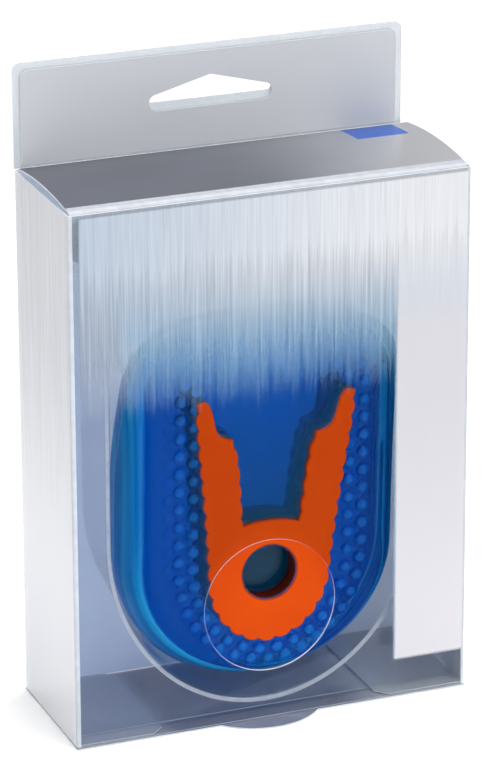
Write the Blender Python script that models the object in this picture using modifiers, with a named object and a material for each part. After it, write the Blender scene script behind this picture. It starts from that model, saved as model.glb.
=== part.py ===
"""A pair of gel heel cups with orange shock pads, nested in the clear pocket
tray of a hanging carton whose lid opens.

Lengths are in metres. +Z is up, +X runs across the carton to the right, and the
front of the carton faces -Y. The origin is the centre of the carton's footprint.
"Depth" means the distance behind the carton's front face.
"""
import math

import bmesh
import bpy
import numpy as np
from mathutils import Matrix, Vector

# Carton and sheet
CARTON_WIDTH = 0.105
CARTON_DEPTH = 0.040
CARTON_HEIGHT = 0.140
SHEET = 0.0004
GAP = 0.0003
FOLD_RADIUS = 0.0010

# Round hole in the front wall, for touching the gel
TOUCH_RADIUS = 0.0175
TOUCH_X = -0.0010
TOUCH_Z = 0.0310

# Half-round thumb tab on the bottom panel
THUMB_HALF_WIDTH = 0.0130
THUMB_REACH = 0.0058
THUMB_X = -0.0012

# Two side flaps that lie on the bottom panel
FLAP_REACH = 0.0230
FLAP_CHAMFER = 0.0030

# Lid: a bowed panel, a rounded front fold and a tuck flap that leans inwards,
# enough for its tip to swing past the front wall's top edge
LID_BOW = 0.0012
LID_FOLD_RADIUS = 0.0022
LID_SIDE_INSET = 0.0007
TUCK_LENGTH = 0.012
TUCK_LEAN = math.radians(14.0)
TUCK_CORNER = 0.005

# Hang tab: two plies, and a hanging hole that rises from both ends to a peak.
# The front ply's hole reaches lower than the back ply's.
TAB_HEIGHT = 0.0263
TAB_RIGHT_INSET = 0.0020
TAB_CORNER = 0.0020
FRONT_PLY_INSET = 0.0018
HANG_HALF_WIDTH = 0.01625
HANG_END = 0.0021
HANG_PEAK = 0.0059
HANG_PEAK_RADIUS = 0.0012
HANG_BASE = 0.0124
HANG_X = -0.0011
HANG_END_ROUNDING = 0.45
FRONT_HANG_DROP = 0.0021

# Tray: a face plate with a U-shaped pocket
TRAY_SHEET = 0.0004
TRAY_FACE_DEPTH = 0.0055
TRAY_TOP_CLEARANCE = 0.0030
POCKET_HALF_WIDTH = 0.0410
POCKET_CENTRE_Z = 0.0507
POCKET_FLOOR_Z = 0.0038
POCKET_TOP_Z = 0.1150
POCKET_CORNER = 0.0200
POCKET_SIDE_DRAFT = 0.0042
POCKET_FLOOR_RISE = 0.0027
POCKET_LIP_FILLET = 0.0015

# Heel cups: flat sole in front, walls rising to a rim behind it
CUP_FACE_DEPTH = 0.0030
CUP_LEAN = math.radians(1.2)
SOLE_HALF_WIDTH = 0.0323
SOLE_BOTTOM_Z = 0.0116
HEEL_CENTRE_Z = 0.0420
TOE_Z = 0.1045
TOE_CORNER = 0.0180
TOE_CROWN = 0.0012
SOLE_EDGE = 0.0030
SOLE_THICKNESS = 0.0070
TOE_THICKNESS = 0.0024
TOE_RIM = 0.0040
CUP_HEIGHT = 0.0145
THIN_FROM_Z = 0.0760
LOW_FROM_Z = 0.0600
WALL = 0.0016
RIM_EDGE = 0.0006
FLOOR_FILLET = 0.0015
FILLET_SHARE = 0.4
REAR_SIDE_FLARE = 0.0022
FRONT_SIDE_FLARE = 0.0040
FRONT_HEEL_FLARE = 0.0053

# Bumps on the soles: two staggered rows round the pad
BUMP_RADIUS = 0.0016
BUMP_HEIGHT = 0.0009
BUMP_SINK = 0.00002
BUMP_PITCH = 0.0047
BUMP_TOP_Z = 0.0930
OUTER_ROW_SIDE_INSET = 0.0079
OUTER_ROW_HEEL_INSET = 0.0040
INNER_ROW_SIDE_INSET = 0.0115
INNER_ROW_HEEL_INSET = 0.0066

# Shock pad: a ring with two scalloped arms
PAD_CENTRE_Z = 0.0387
PAD_LEAN = math.radians(2.4)
PAD_PROUD = 0.0002
PAD_RECESS = 0.0048
RING_HOLE_RADIUS = 0.0070
RING_HALF_WIDTH = 0.0157
RING_BOTTOM = 0.0179
RING_TOP = 0.0139
ARM_REACH = 0.0473
ARM_SPREAD = 0.0207
SCALLOP_PITCH = 0.0047
SCALLOP_DEPTH = 0.0008

# Arm outline from the ring up to the tip. Columns: height as a share of
# ARM_REACH, then outer edge and inner edge as shares of ARM_SPREAD.
ARM_OUTLINE = (
    (0.27, 0.815, 0.385),
    (0.45, 0.865, 0.425),
    (0.62, 0.915, 0.465),
    (0.71, 0.945, 0.510),
    (0.77, 0.960, 0.570),
    (0.79, 0.965, 0.690),
    (0.83, 0.975, 0.755),
    (0.92, 0.995, 0.800),
    (0.98, 0.985, 0.850),
)
ARM_TIP_SHARE = 0.935

# How a cup's wall opens from sole to rim: the shares of its height where it has
# a ring, and the powers of that share that give the share of each flare there.
WALL_RINGS = (0.0, 0.12, 0.40, 1.0)
SIDE_FLARE_POWER = 0.30
HEEL_FLARE_POWER = 0.72

FRONT_Y = -CARTON_DEPTH / 2
BACK_Y = CARTON_DEPTH / 2
WALL_FOOT_Z = SHEET + GAP
WALL_TOP_Z = CARTON_HEIGHT - SHEET - GAP
PLY_STEP = SHEET + GAP
FRONT_PLY_Y = BACK_Y - SHEET - PLY_STEP
HINGE_Y = FRONT_PLY_Y - GAP - SHEET
HINGE_Z = CARTON_HEIGHT - SHEET / 2
TRAY_FOOT_Z = WALL_FOOT_Z + SHEET + GAP
TRAY_BACK_DEPTH = CARTON_DEPTH - SHEET - GAP
FRONT_CUP_DEPTH = CUP_FACE_DEPTH
REAR_CUP_DEPTH = CUP_FACE_DEPTH + SOLE_THICKNESS + GAP + BUMP_HEIGHT
HEEL_DROP = HEEL_CENTRE_Z - SOLE_BOTTOM_Z


def clear_scene():
    """Remove every object of the open scene."""
    for old in list(bpy.data.objects):
        bpy.data.objects.remove(old, do_unlink=True)


def new_collection(name):
    """Add a collection to the scene."""
    group = bpy.data.collections.new(name)
    bpy.context.scene.collection.children.link(group)
    return group


def new_material(name, colour, roughness, transmission=0.0):
    """Make a Principled material of one linear colour."""
    made = bpy.data.materials.new(name)
    made.use_nodes = True
    shader = made.node_tree.nodes["Principled BSDF"]
    shader.inputs["Base Color"].default_value = (*colour, 1.0)
    shader.inputs["Roughness"].default_value = roughness
    shader.inputs["Metallic"].default_value = 0.0
    shader.inputs["Transmission Weight"].default_value = transmission
    return made


def new_object(name, mesh, group, finish=None):
    """Add an object for a mesh to a collection."""
    made = bpy.data.objects.new(name, mesh)
    group.objects.link(made)
    if finish is not None:
        made.data.materials.append(finish)
    return made


def new_cutter(name, mesh, cutters):
    """Add an object that only cuts or joins, and is never rendered."""
    made = new_object(name, mesh, cutters)
    made.hide_render = True
    made.display_type = "WIRE"
    return made


def add_boolean(piece, other, operation):
    """Cut or join a piece with another object."""
    step = piece.modifiers.new(other.name, "BOOLEAN")
    step.object = other
    step.operation = operation
    step.solver = "EXACT"


def add_thickness(piece, thickness, side):
    """Give an open surface a wall; side -1 is behind its faces, 1 in front."""
    step = piece.modifiers.new("Wall", "SOLIDIFY")
    step.thickness = thickness
    step.offset = side
    step.use_even_offset = True


def flat_face(name, points):
    """Make a mesh of one flat face from its corners, in order."""
    mesh = bpy.data.meshes.new(name)
    mesh.from_pydata([tuple(p) for p in points], [], [tuple(range(len(points)))])
    return mesh


def arc(centre, radius, start, end, steps):
    """Points of a circular arc in a plane, both ends included."""
    angles = np.linspace(start, end, steps + 1)
    return np.stack([centre[0] + radius * np.cos(angles), centre[1] + radius * np.sin(angles)], 1)


def upright_prism(name, outline, front_y, thickness):
    """Make a closed solid from an outline in X and Z, pushed back along +Y."""
    shape = bmesh.new()
    corners = [shape.verts.new((x, front_y, z)) for x, z in outline]
    face = shape.faces.new(corners)
    grown = bmesh.ops.extrude_face_region(shape, geom=[face])
    moved = [part for part in grown["geom"] if isinstance(part, bmesh.types.BMVert)]
    bmesh.ops.translate(shape, verts=moved, vec=(0.0, thickness, 0.0))
    bmesh.ops.recalc_face_normals(shape, faces=shape.faces)
    mesh = bpy.data.meshes.new(name)
    shape.to_mesh(mesh)
    shape.free()
    return mesh


def round_cutter_mesh(name, x, z, radius, sides, front_y, back_y):
    """Make a round bar along Y."""
    shape = bmesh.new()
    bmesh.ops.create_cone(
        shape, cap_ends=True, segments=sides, radius1=radius, radius2=radius,
        depth=back_y - front_y, matrix=Matrix.Rotation(math.pi / 2, 4, "X"),
    )
    bmesh.ops.translate(shape, verts=shape.verts, vec=(x, (front_y + back_y) / 2, z))
    mesh = bpy.data.meshes.new(name)
    shape.to_mesh(mesh)
    shape.free()
    return mesh


def make_sleeve(parts, cutters, finish):
    """Four walls of thin sheet with rounded folds and the touch hole."""
    height = WALL_TOP_Z - WALL_FOOT_Z
    shape = bmesh.new()
    bmesh.ops.create_cube(shape, size=1.0)
    bmesh.ops.scale(shape, verts=shape.verts, vec=(CARTON_WIDTH, CARTON_DEPTH, height))
    bmesh.ops.translate(shape, verts=shape.verts, vec=(0, 0, WALL_FOOT_Z + height / 2))
    ends = [face for face in shape.faces if abs(face.normal.z) > 0.5]
    bmesh.ops.delete(shape, geom=ends, context="FACES_ONLY")
    folds = [edge for edge in shape.edges if len(edge.link_faces) == 2]
    bmesh.ops.bevel(
        shape, geom=folds, offset=FOLD_RADIUS, segments=3, profile=0.5, affect="EDGES",
    )
    mesh = bpy.data.meshes.new("carton_sleeve")
    shape.to_mesh(mesh)
    shape.free()
    sleeve = new_object("carton_sleeve", mesh, parts, finish)
    add_thickness(sleeve, SHEET, -1.0)
    hole = round_cutter_mesh(
        "touch_hole", TOUCH_X, TOUCH_Z, TOUCH_RADIUS, 48,
        FRONT_Y - 4 * SHEET, FRONT_Y + 4 * SHEET,
    )
    add_boolean(sleeve, new_cutter("touch_hole", hole, cutters), "DIFFERENCE")


def make_bottom(parts, finish):
    """Flat bottom panel whose thumb tab sticks out at the front."""
    tab_radius = (THUMB_HALF_WIDTH ** 2 + THUMB_REACH ** 2) / (2 * THUMB_REACH)
    tab_centre = (THUMB_X, FRONT_Y - THUMB_REACH + tab_radius)
    half_angle = math.asin(THUMB_HALF_WIDTH / tab_radius)
    down = -math.pi / 2
    tab = arc(tab_centre, tab_radius, down - half_angle, down + half_angle, 12)
    half = CARTON_WIDTH / 2
    corners = [
        (-half, BACK_Y), (-half, FRONT_Y), *map(tuple, tab), (half, FRONT_Y), (half, BACK_Y),
    ]
    face = flat_face("carton_bottom", [(x, y, 0.0) for x, y in corners])
    panel = new_object("carton_bottom", face, parts, finish)
    add_thickness(panel, SHEET, 1.0)


def make_bottom_flaps(parts, finish):
    """Flaps folded in from both sides, flat on the bottom panel, with cut-off corners."""
    outer = CARTON_WIDTH / 2 - SHEET - GAP
    inner = outer - FLAP_REACH
    front = FRONT_Y + SHEET + GAP
    back = BACK_Y - SHEET - GAP
    corners = [
        (outer, front), (outer, back), (inner + FLAP_CHAMFER, back), (inner, back - FLAP_CHAMFER),
        (inner, front + FLAP_CHAMFER), (inner + FLAP_CHAMFER, front),
    ]
    for name, side in (("bottom_flap_left", -1), ("bottom_flap_right", 1)):
        face = flat_face(name, [(side * x, y, WALL_FOOT_Z) for x, y in corners[::side]])
        add_thickness(new_object(name, face, parts, finish), SHEET, 1.0)


def hang_hole_outline(drop):
    """Outline of the hanging hole in X and Z, its lower edge lowered by a drop."""
    base_z = CARTON_HEIGHT + HANG_BASE - drop
    end_top = HANG_END + drop
    corner = end_top * HANG_END_ROUNDING
    lower = arc((HANG_HALF_WIDTH - corner, base_z + corner), corner, -math.pi / 2, 0.0, 4)
    slope = math.atan2(HANG_PEAK - HANG_END, HANG_HALF_WIDTH)
    upper = arc((HANG_HALF_WIDTH - corner, base_z + end_top - corner), corner, math.pi / 12,
                math.pi / 2 - slope, 3)
    peak_z = base_z + drop + HANG_PEAK - HANG_PEAK_RADIUS
    peak = arc((0.0, peak_z), HANG_PEAK_RADIUS, math.pi / 2 - slope, math.pi / 2, 2)
    half = np.concatenate([lower, upper, peak])
    left = half[-2::-1] * (-1, 1)
    outline = np.concatenate([half, left])
    outline[:, 0] += HANG_X
    return outline


def tab_outline(left, right, foot, top):
    """Upright sheet outline with rounded top corners."""
    r = TAB_CORNER
    right_corner = arc((right - r, top - r), r, 0.0, math.pi / 2, 4)
    left_corner = arc((left + r, top - r), r, math.pi / 2, math.pi, 4)
    feet = np.array([(left, foot), (right, foot)])
    return np.concatenate([feet, right_corner, left_corner])


def make_hang_tab(parts, cutters, clear, silver):
    """Two plies of the hang tab, with one hanging hole through both."""
    half = CARTON_WIDTH / 2
    top = CARTON_HEIGHT + TAB_HEIGHT
    back = tab_outline(-half, half - TAB_RIGHT_INSET, WALL_TOP_Z + GAP, top)
    front = tab_outline(
        -half + FRONT_PLY_INSET, half - TAB_RIGHT_INSET - FRONT_PLY_INSET,
        CARTON_HEIGHT + SHEET, top - FRONT_PLY_INSET,
    )
    back_mesh = upright_prism("hang_tab_back", back, BACK_Y - SHEET, SHEET)
    front_mesh = upright_prism("hang_tab_front", front, FRONT_PLY_Y, SHEET)
    plies = (
        ("hang_tab_back", back_mesh, clear, 0.0),
        ("hang_tab_front", front_mesh, silver, FRONT_HANG_DROP),
    )
    for name, mesh, finish, drop in plies:
        hole = upright_prism(
            name + "_hole", hang_hole_outline(drop), FRONT_PLY_Y - PLY_STEP, 4 * PLY_STEP,
        )
        cutter = new_cutter(name + "_hole", hole, cutters)
        add_boolean(new_object(name, mesh, parts, finish), cutter, "DIFFERENCE")


def lid_rows():
    """Rows of the lid's outer face: half-width, Y and Z from the hinge forwards."""
    half = CARTON_WIDTH / 2 - LID_SIDE_INSET
    fold_y = FRONT_Y + SHEET + GAP + LID_FOLD_RADIUS
    rows = []
    for share in np.linspace(0.0, 1.0, 9):
        bow = 4 * LID_BOW * share * (1 - share)
        rows.append((half, HINGE_Y + share * (fold_y - HINGE_Y), CARTON_HEIGHT + bow))
    turn_centre = (fold_y, CARTON_HEIGHT - LID_FOLD_RADIUS)
    fold = arc(turn_centre, LID_FOLD_RADIUS, math.pi / 2, math.pi + TUCK_LEAN, 6)
    rows += [(half, y, z) for y, z in fold[1:]]
    start_y, start_z = fold[-1]
    straight = TUCK_LENGTH - TUCK_CORNER
    flap_half = half - GAP
    for turn in np.linspace(0.0, math.pi / 2, 5):
        along = straight + TUCK_CORNER * math.sin(turn)
        width = flap_half - TUCK_CORNER * (1 - math.cos(turn))
        y = start_y + along * math.sin(TUCK_LEAN)
        z = start_z - along * math.cos(TUCK_LEAN)
        rows.append((width, y, z))
    return rows


def make_lid(parts, finish):
    """Bowed lid with a tuck flap, its origin on the hinge line."""
    rows = lid_rows()
    shape = bmesh.new()
    lines = []
    for half, y, z in rows:
        left = shape.verts.new((-half, y - HINGE_Y, z - HINGE_Z))
        right = shape.verts.new((half, y - HINGE_Y, z - HINGE_Z))
        lines.append((left, right))
    for upper, lower in zip(lines, lines[1:]):
        shape.faces.new((upper[1], upper[0], lower[0], lower[1]))
    mesh = bpy.data.meshes.new("lid")
    shape.to_mesh(mesh)
    shape.free()
    lid = new_object("lid", mesh, parts, finish)
    lid.location = (0.0, HINGE_Y, HINGE_Z)
    add_thickness(lid, SHEET, -1.0)


def u_outline(half_width, heel_centre, heel_drop, toe, corner, steps):
    """Closed U outline in X and Z: half-ellipse heel, straight sides, round toe corners.

    It starts at the lowest point and runs up the right side; the left side mirrors it.
    """
    turn = np.linspace(-math.pi / 2, 0.0, steps + 1)
    heel = np.stack([half_width * np.cos(turn), heel_centre + heel_drop * np.sin(turn)], 1)
    side_z = np.linspace(heel_centre, toe - corner, 6)[1:]
    side = np.stack([np.full(side_z.size, half_width), side_z], 1)
    toe_corner = arc((half_width - corner, toe - corner), corner, 0.0, math.pi / 2, 6)[1:]
    shares = np.array([0.5, 0.0])
    middle = np.stack([shares * (half_width - corner), toe + TOE_CROWN * (1 - shares ** 2)], 1)
    right = np.concatenate([heel, side, toe_corner, middle])
    right[0, 0] = 0.0
    left = right[-2:0:-1] * (-1, 1)
    return np.concatenate([right, left])


def loft(name, rings, close_first, close_last):
    """Skin a list of closed rings of equal count, and close either end.

    The rings mirror left to right from their lowest point, so an end is closed
    with strips from each point to its mirror image.
    """
    shape = bmesh.new()
    loops = [[shape.verts.new(tuple(p)) for p in ring] for ring in rings]
    count = len(loops[0])
    for inner, outer in zip(loops, loops[1:]):
        for i in range(count):
            j = (i + 1) % count
            shape.faces.new((inner[i], inner[j], outer[j], outer[i]))
    for loop, wanted in ((loops[0], close_first), (loops[-1], close_last)):
        if wanted:
            close_strips(shape, loop)
    bmesh.ops.recalc_face_normals(shape, faces=shape.faces)
    mesh = bpy.data.meshes.new(name)
    shape.to_mesh(mesh)
    shape.free()
    return mesh


def close_strips(shape, loop):
    """Close a mirrored ring with strips across it."""
    count = len(loop)
    half = count // 2
    shape.faces.new((loop[0], loop[1], loop[-1]))
    for i in range(1, half - 1):
        shape.faces.new((loop[i], loop[i + 1], loop[count - i - 1], loop[count - i]))
    shape.faces.new((loop[half - 1], loop[half], loop[half + 1]))


def at_depth(outline, depth):
    """Place an outline in X and Z at a depth, which may vary round it."""
    y = np.broadcast_to(np.asarray(FRONT_Y + depth, float), outline.shape[:1])
    return np.stack([outline[:, 0], y, outline[:, 1]], 1)


def pocket_outline(depth):
    """Outer face of the tray's pocket at a depth behind the carton's front."""
    share = (depth - TRAY_FACE_DEPTH) / (TRAY_BACK_DEPTH - TRAY_FACE_DEPTH)
    half_width = POCKET_HALF_WIDTH - share * POCKET_SIDE_DRAFT
    floor = POCKET_FLOOR_Z + share * POCKET_FLOOR_RISE
    top = POCKET_TOP_Z - share * POCKET_SIDE_DRAFT
    return u_outline(
        half_width, POCKET_CENTRE_Z, POCKET_CENTRE_Z - floor, top, POCKET_CORNER, 14,
    )


def frame_ring(outline, half, foot, top):
    """Points on a rectangle that face an outline's points, with its four corners hit."""
    centre = np.array((0.0, POCKET_CENTRE_Z))
    aim = outline - centre
    with np.errstate(divide="ignore"):
        across = half / np.abs(aim[:, 0])
        along = np.where(aim[:, 1] > 0, top - centre[1], centre[1] - foot) / np.abs(aim[:, 1])
    ring = centre + aim * np.minimum(across, along)[:, None]
    for corner in ((-half, foot), (half, foot), (-half, top), (half, top)):
        nearest = np.argmin(np.hypot(ring[:, 0] - corner[0], ring[:, 1] - corner[1]))
        ring[nearest] = corner
    return ring


def make_tray(parts, finish):
    """Thermoformed sheet: a face plate, a rounded lip and the pocket."""
    half = CARTON_WIDTH / 2 - SHEET - GAP
    mouth = pocket_outline(TRAY_FACE_DEPTH)
    plate = frame_ring(mouth, half, TRAY_FOOT_Z, WALL_TOP_Z - TRAY_TOP_CLEARANCE)
    centre = np.array((0.0, POCKET_CENTRE_Z))
    lip = centre + (mouth - centre) * (1 + POCKET_LIP_FILLET / POCKET_HALF_WIDTH)
    front = TRAY_FACE_DEPTH + POCKET_LIP_FILLET
    back = TRAY_BACK_DEPTH - POCKET_LIP_FILLET
    floor_edge = pocket_outline(TRAY_BACK_DEPTH)
    floor = centre + (floor_edge - centre) * (1 - POCKET_LIP_FILLET / POCKET_HALF_WIDTH)
    rings = [
        at_depth(plate, TRAY_FACE_DEPTH),
        at_depth(lip, TRAY_FACE_DEPTH),
        at_depth(pocket_outline(front), front),
        at_depth(pocket_outline(back), back),
        at_depth(floor, TRAY_BACK_DEPTH),
    ]
    mesh = loft("inner_tray", rings, False, True)
    tray = new_object("inner_tray", mesh, parts, finish)
    facing = Vector((0.0, -1.0, 0.0))
    first = mesh.polygons[0].normal
    add_thickness(tray, TRAY_SHEET, 1.0 if facing.dot(first) > 0 else -1.0)


def eased(z, start, end):
    """Smooth step from 0 at start to 1 at end."""
    share = np.clip((z - start) / (end - start), 0.0, 1.0)
    return share * share * (3 - 2 * share)


def sole_thickness(z):
    """Gel thickness of the sole, thinning towards the toe."""
    return SOLE_THICKNESS + (TOE_THICKNESS - SOLE_THICKNESS) * eased(z, THIN_FROM_Z, TOE_Z)


def rim_height(z):
    """Height of the rim behind the sole's face, falling towards the toe."""
    return CUP_HEIGHT + (TOE_RIM - CUP_HEIGHT) * eased(z, LOW_FROM_Z, TOE_Z)


def cup_outline(height, side_flare, heel_flare, inset):
    """Outline of a cup at a share of its wall's height, moved inwards by an inset."""
    half_width = SOLE_HALF_WIDTH + height ** SIDE_FLARE_POWER * side_flare - inset
    heel_drop = HEEL_DROP + height ** HEEL_FLARE_POWER * heel_flare - inset
    toe = TOE_Z - inset
    corner = TOE_CORNER - inset
    return u_outline(half_width, HEEL_CENTRE_Z, heel_drop, toe, corner, 14)


def inner_height(share):
    """Share of the outer wall's height at a share of the inner wall's height."""
    low = SOLE_THICKNESS + FLOOR_FILLET
    top = CUP_HEIGHT - RIM_EDGE
    level = low + share * (top - low)
    return (level - SOLE_EDGE) / (top - SOLE_EDGE)


def cup_rings(face_depth, side_flare, heel_flare):
    """Rings of a cup: sole edge, outer wall, rim, inner wall and floor."""
    rings = []
    for inset, rise in ((SOLE_EDGE, 0.0), (SOLE_EDGE * 0.3, SOLE_EDGE * 0.3)):
        rings.append(at_depth(cup_outline(0.0, side_flare, heel_flare, inset), face_depth + rise))
    for share in WALL_RINGS:
        outline = cup_outline(share, side_flare, heel_flare, 0.0)
        top = rim_height(outline[:, 1]) - RIM_EDGE
        rings.append(at_depth(outline, face_depth + SOLE_EDGE + share * (top - SOLE_EDGE)))
    for inset in (RIM_EDGE, WALL - RIM_EDGE):
        outline = cup_outline(1.0, side_flare, heel_flare, inset)
        rings.append(at_depth(outline, face_depth + rim_height(outline[:, 1])))
    for share in (1.0, 0.5, 0.0):
        outline = cup_outline(inner_height(share), side_flare, heel_flare, WALL)
        top = rim_height(outline[:, 1]) - RIM_EDGE
        base = sole_thickness(outline[:, 1])
        base = base + np.minimum(FLOOR_FILLET, FILLET_SHARE * (top - base))
        rings.append(at_depth(outline, face_depth + base + share * (top - base)))
    edge = cup_outline(inner_height(0.0), side_flare, heel_flare, WALL + FLOOR_FILLET)
    rings.append(at_depth(edge, face_depth + sole_thickness(edge[:, 1])))
    for share in (0.55, 0.2):
        spine_z = np.clip(edge[:, 1], HEEL_CENTRE_Z, TOE_Z - TOE_CORNER)
        spine = np.stack([np.zeros(len(edge)), spine_z], 1)
        inner = spine + share * (edge - spine)
        rings.append(at_depth(inner, face_depth + sole_thickness(inner[:, 1])))
    return rings


def half_path(outline):
    """Right half of a closed outline, from its lowest point up."""
    return outline[: len(outline) // 2 + 1]


def walk(path, distances):
    """Points at given distances along a path."""
    steps = np.hypot(*np.diff(path, axis=0).T)
    run = np.concatenate([[0.0], np.cumsum(steps)])
    x = np.interp(distances, run, path[:, 0])
    return np.stack([x, np.interp(distances, run, path[:, 1])], 1)


def bump_centres():
    """Centres of the two staggered rows of bumps round the sole."""
    centres = []
    rows = (
        (OUTER_ROW_SIDE_INSET, OUTER_ROW_HEEL_INSET), (INNER_ROW_SIDE_INSET, INNER_ROW_HEEL_INSET),
    )
    for row, (side_inset, heel_inset) in enumerate(rows):
        path = half_path(u_outline(
            SOLE_HALF_WIDTH - side_inset, HEEL_CENTRE_Z, HEEL_DROP - heel_inset,
            TOE_Z - side_inset, TOE_CORNER - side_inset, 14,
        ))
        path = path[path[:, 1] <= BUMP_TOP_Z + BUMP_PITCH]
        length = np.hypot(*np.diff(path, axis=0).T).sum()
        start = BUMP_PITCH / 2 if row % 2 else 0.0
        points = walk(path, np.arange(start, length, BUMP_PITCH))
        points = points[points[:, 1] <= BUMP_TOP_Z]
        centres += [tuple(p) for p in points]
        centres += [(-x, z) for x, z in points if x > BUMP_PITCH / 4]
    return centres


def make_bumps_mesh(face_depth):
    """Low domes, each a ball cut at its equator, sunk slightly into the sole."""
    shape = bmesh.new()
    y = FRONT_Y + face_depth + BUMP_SINK
    for x, z in bump_centres():
        made = bmesh.ops.create_uvsphere(
            shape, u_segments=6, v_segments=4, radius=1.0,
            matrix=Matrix.Rotation(math.pi / 2, 4, "X"),
        )
        size = (BUMP_RADIUS, BUMP_HEIGHT, BUMP_RADIUS)
        bmesh.ops.scale(shape, verts=made["verts"], vec=size)
        bmesh.ops.translate(shape, verts=made["verts"], vec=(x, y, z))
    bmesh.ops.recalc_face_normals(shape, faces=shape.faces)
    mesh = bpy.data.meshes.new("sole_bumps")
    shape.to_mesh(mesh)
    shape.free()
    return mesh


def lower_ring_edge(margin):
    """Right lower quarter of the pad's ring, from its lowest point to its side."""
    turn = np.linspace(-math.pi / 2, 0.0, 13)
    across = (RING_HALF_WIDTH + margin) * np.cos(turn)
    return np.stack([across, (RING_BOTTOM + margin) * np.sin(turn)], 1)


def pad_half_outline(margin):
    """Right half of the plain pad outline about the ring's centre, grown by a margin."""
    table = np.array(ARM_OUTLINE)
    height = table[:, 0] * ARM_REACH
    outer = np.stack([table[:, 1] * ARM_SPREAD + margin, height], 1)
    inner = np.stack([table[:, 2] * ARM_SPREAD - margin, height + margin], 1)[::-1]
    tip = np.array([(ARM_TIP_SHARE * ARM_SPREAD, ARM_REACH + margin)])
    outer_edge = np.concatenate([lower_ring_edge(margin), outer])
    crotch = inner[-1, 0]
    arch_x = np.linspace(crotch, 0.0, 5)
    arch_z = (RING_TOP + margin) * np.sqrt(1 - (arch_x / (RING_HALF_WIDTH * 1.05)) ** 2)
    arch = np.stack([arch_x, arch_z], 1)
    return outer_edge, np.concatenate([tip, inner, arch])


def scalloped(edge):
    """An edge path with round scallops pushed outwards along it."""
    length = np.hypot(*np.diff(edge, axis=0).T).sum()
    waves = max(1, round(length / SCALLOP_PITCH))
    samples = np.linspace(0.0, length, 4 * waves + 1)
    points = walk(edge, samples)
    slope = np.gradient(points, axis=0)
    slope /= np.hypot(*slope.T)[:, None]
    outwards = np.stack([slope[:, 1], -slope[:, 0]], 1)
    lift = np.abs(np.cos(math.pi * samples * waves / length))
    return points + outwards * (SCALLOP_DEPTH * lift)[:, None]


def pad_outline(margin, with_scallops):
    """Closed pad outline in X and Z, leaning with its cup."""
    outer, inner = pad_half_outline(margin)
    if with_scallops:
        outer = scalloped(outer)
    outer[0, 0] = 0.0
    right = np.concatenate([outer, inner])
    left = right[-2:0:-1] * (-1, 1)
    loop = np.concatenate([right, left])
    turn = PAD_LEAN - CUP_LEAN
    turned = loop @ np.array([[math.cos(turn), -math.sin(turn)], [math.sin(turn), math.cos(turn)]])
    return turned + (0.0, PAD_CENTRE_Z)


def lean_with_cup(piece):
    """Turn a piece clockwise, seen from the front, about the ring's centre."""
    pivot = Matrix.Translation((0.0, 0.0, PAD_CENTRE_Z))
    turn = pivot @ Matrix.Rotation(CUP_LEAN, 4, "Y") @ pivot.inverted()
    piece.data.transform(turn)


def make_cup(name, face_depth, side_flare, heel_flare, parts, cutters, finish):
    """One gel heel cup: lofted body, bumps joined on, and the pad's recess cut.

    The recess keeps its floor of gel, which closes the pad's round hole behind.
    """
    body = loft(name, cup_rings(face_depth, side_flare, heel_flare), True, True)
    cup = new_object(name, body, parts, finish)
    face_y = FRONT_Y + face_depth
    bumps = new_cutter(name + "_bumps", make_bumps_mesh(face_depth), cutters)
    reach = BUMP_HEIGHT * 2
    recess = new_cutter(name + "_recess", upright_prism(
        name + "_recess", pad_outline(GAP + SCALLOP_DEPTH, False), face_y - reach, PAD_RECESS + reach,
    ), cutters)
    for piece in (cup, bumps, recess):
        lean_with_cup(piece)
    add_boolean(cup, bumps, "UNION")
    add_boolean(cup, recess, "DIFFERENCE")


def make_pad(name, face_depth, parts, cutters, finish):
    """One shock pad: scalloped outline pushed back, with the round hole cut through."""
    front_y = FRONT_Y + face_depth - PAD_PROUD
    thickness = PAD_RECESS + PAD_PROUD - GAP
    mesh = upright_prism(name, pad_outline(0.0, True), front_y, thickness)
    pad = new_object(name, mesh, parts, finish)
    hole = new_cutter(name + "_hole", round_cutter_mesh(
        name + "_hole", 0.0, PAD_CENTRE_Z, RING_HOLE_RADIUS, 32,
        front_y - thickness, front_y + 2 * thickness,
    ), cutters)
    for piece in (pad, hole):
        lean_with_cup(piece)
    add_boolean(pad, hole, "DIFFERENCE")


def rear_heel_flare():
    """Heel flare that lets the rear cup's rim sit just above the pocket's floor."""
    rim_depth = REAR_CUP_DEPTH + CUP_HEIGHT
    floor = pocket_outline(rim_depth)[0, 1] + TRAY_SHEET
    return SOLE_BOTTOM_Z - floor - GAP


def build():
    """Make every piece of the carton and the pair of heel cups."""
    clear_scene()
    parts = new_collection("heel_cup_carton")
    cutters = new_collection("cutters")
    clear = new_material("clear_sheet", (0.80, 0.83, 0.86), 0.08, 0.8)
    silver = new_material("silver_printed_sheet", (0.55, 0.56, 0.58), 0.30)
    formed = new_material("formed_clear_sheet", (0.70, 0.74, 0.82), 0.10, 0.8)
    gel = new_material("blue_gel", (0.004, 0.075, 0.55), 0.12)
    pad = new_material("orange_pad", (0.80, 0.13, 0.01), 0.40)
    make_sleeve(parts, cutters, clear)
    make_bottom(parts, clear)
    make_bottom_flaps(parts, clear)
    make_hang_tab(parts, cutters, clear, silver)
    make_lid(parts, silver)
    make_tray(parts, formed)
    pairs = (
        ("front", FRONT_CUP_DEPTH, FRONT_SIDE_FLARE, FRONT_HEEL_FLARE),
        ("rear", REAR_CUP_DEPTH, REAR_SIDE_FLARE, rear_heel_flare()),
    )
    for side, depth, side_flare, heel_flare in pairs:
        make_cup("heel_cup_" + side, depth, side_flare, heel_flare, parts, cutters, gel)
        make_pad("shock_pad_" + side, depth, parts, cutters, pad)


build()
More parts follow.
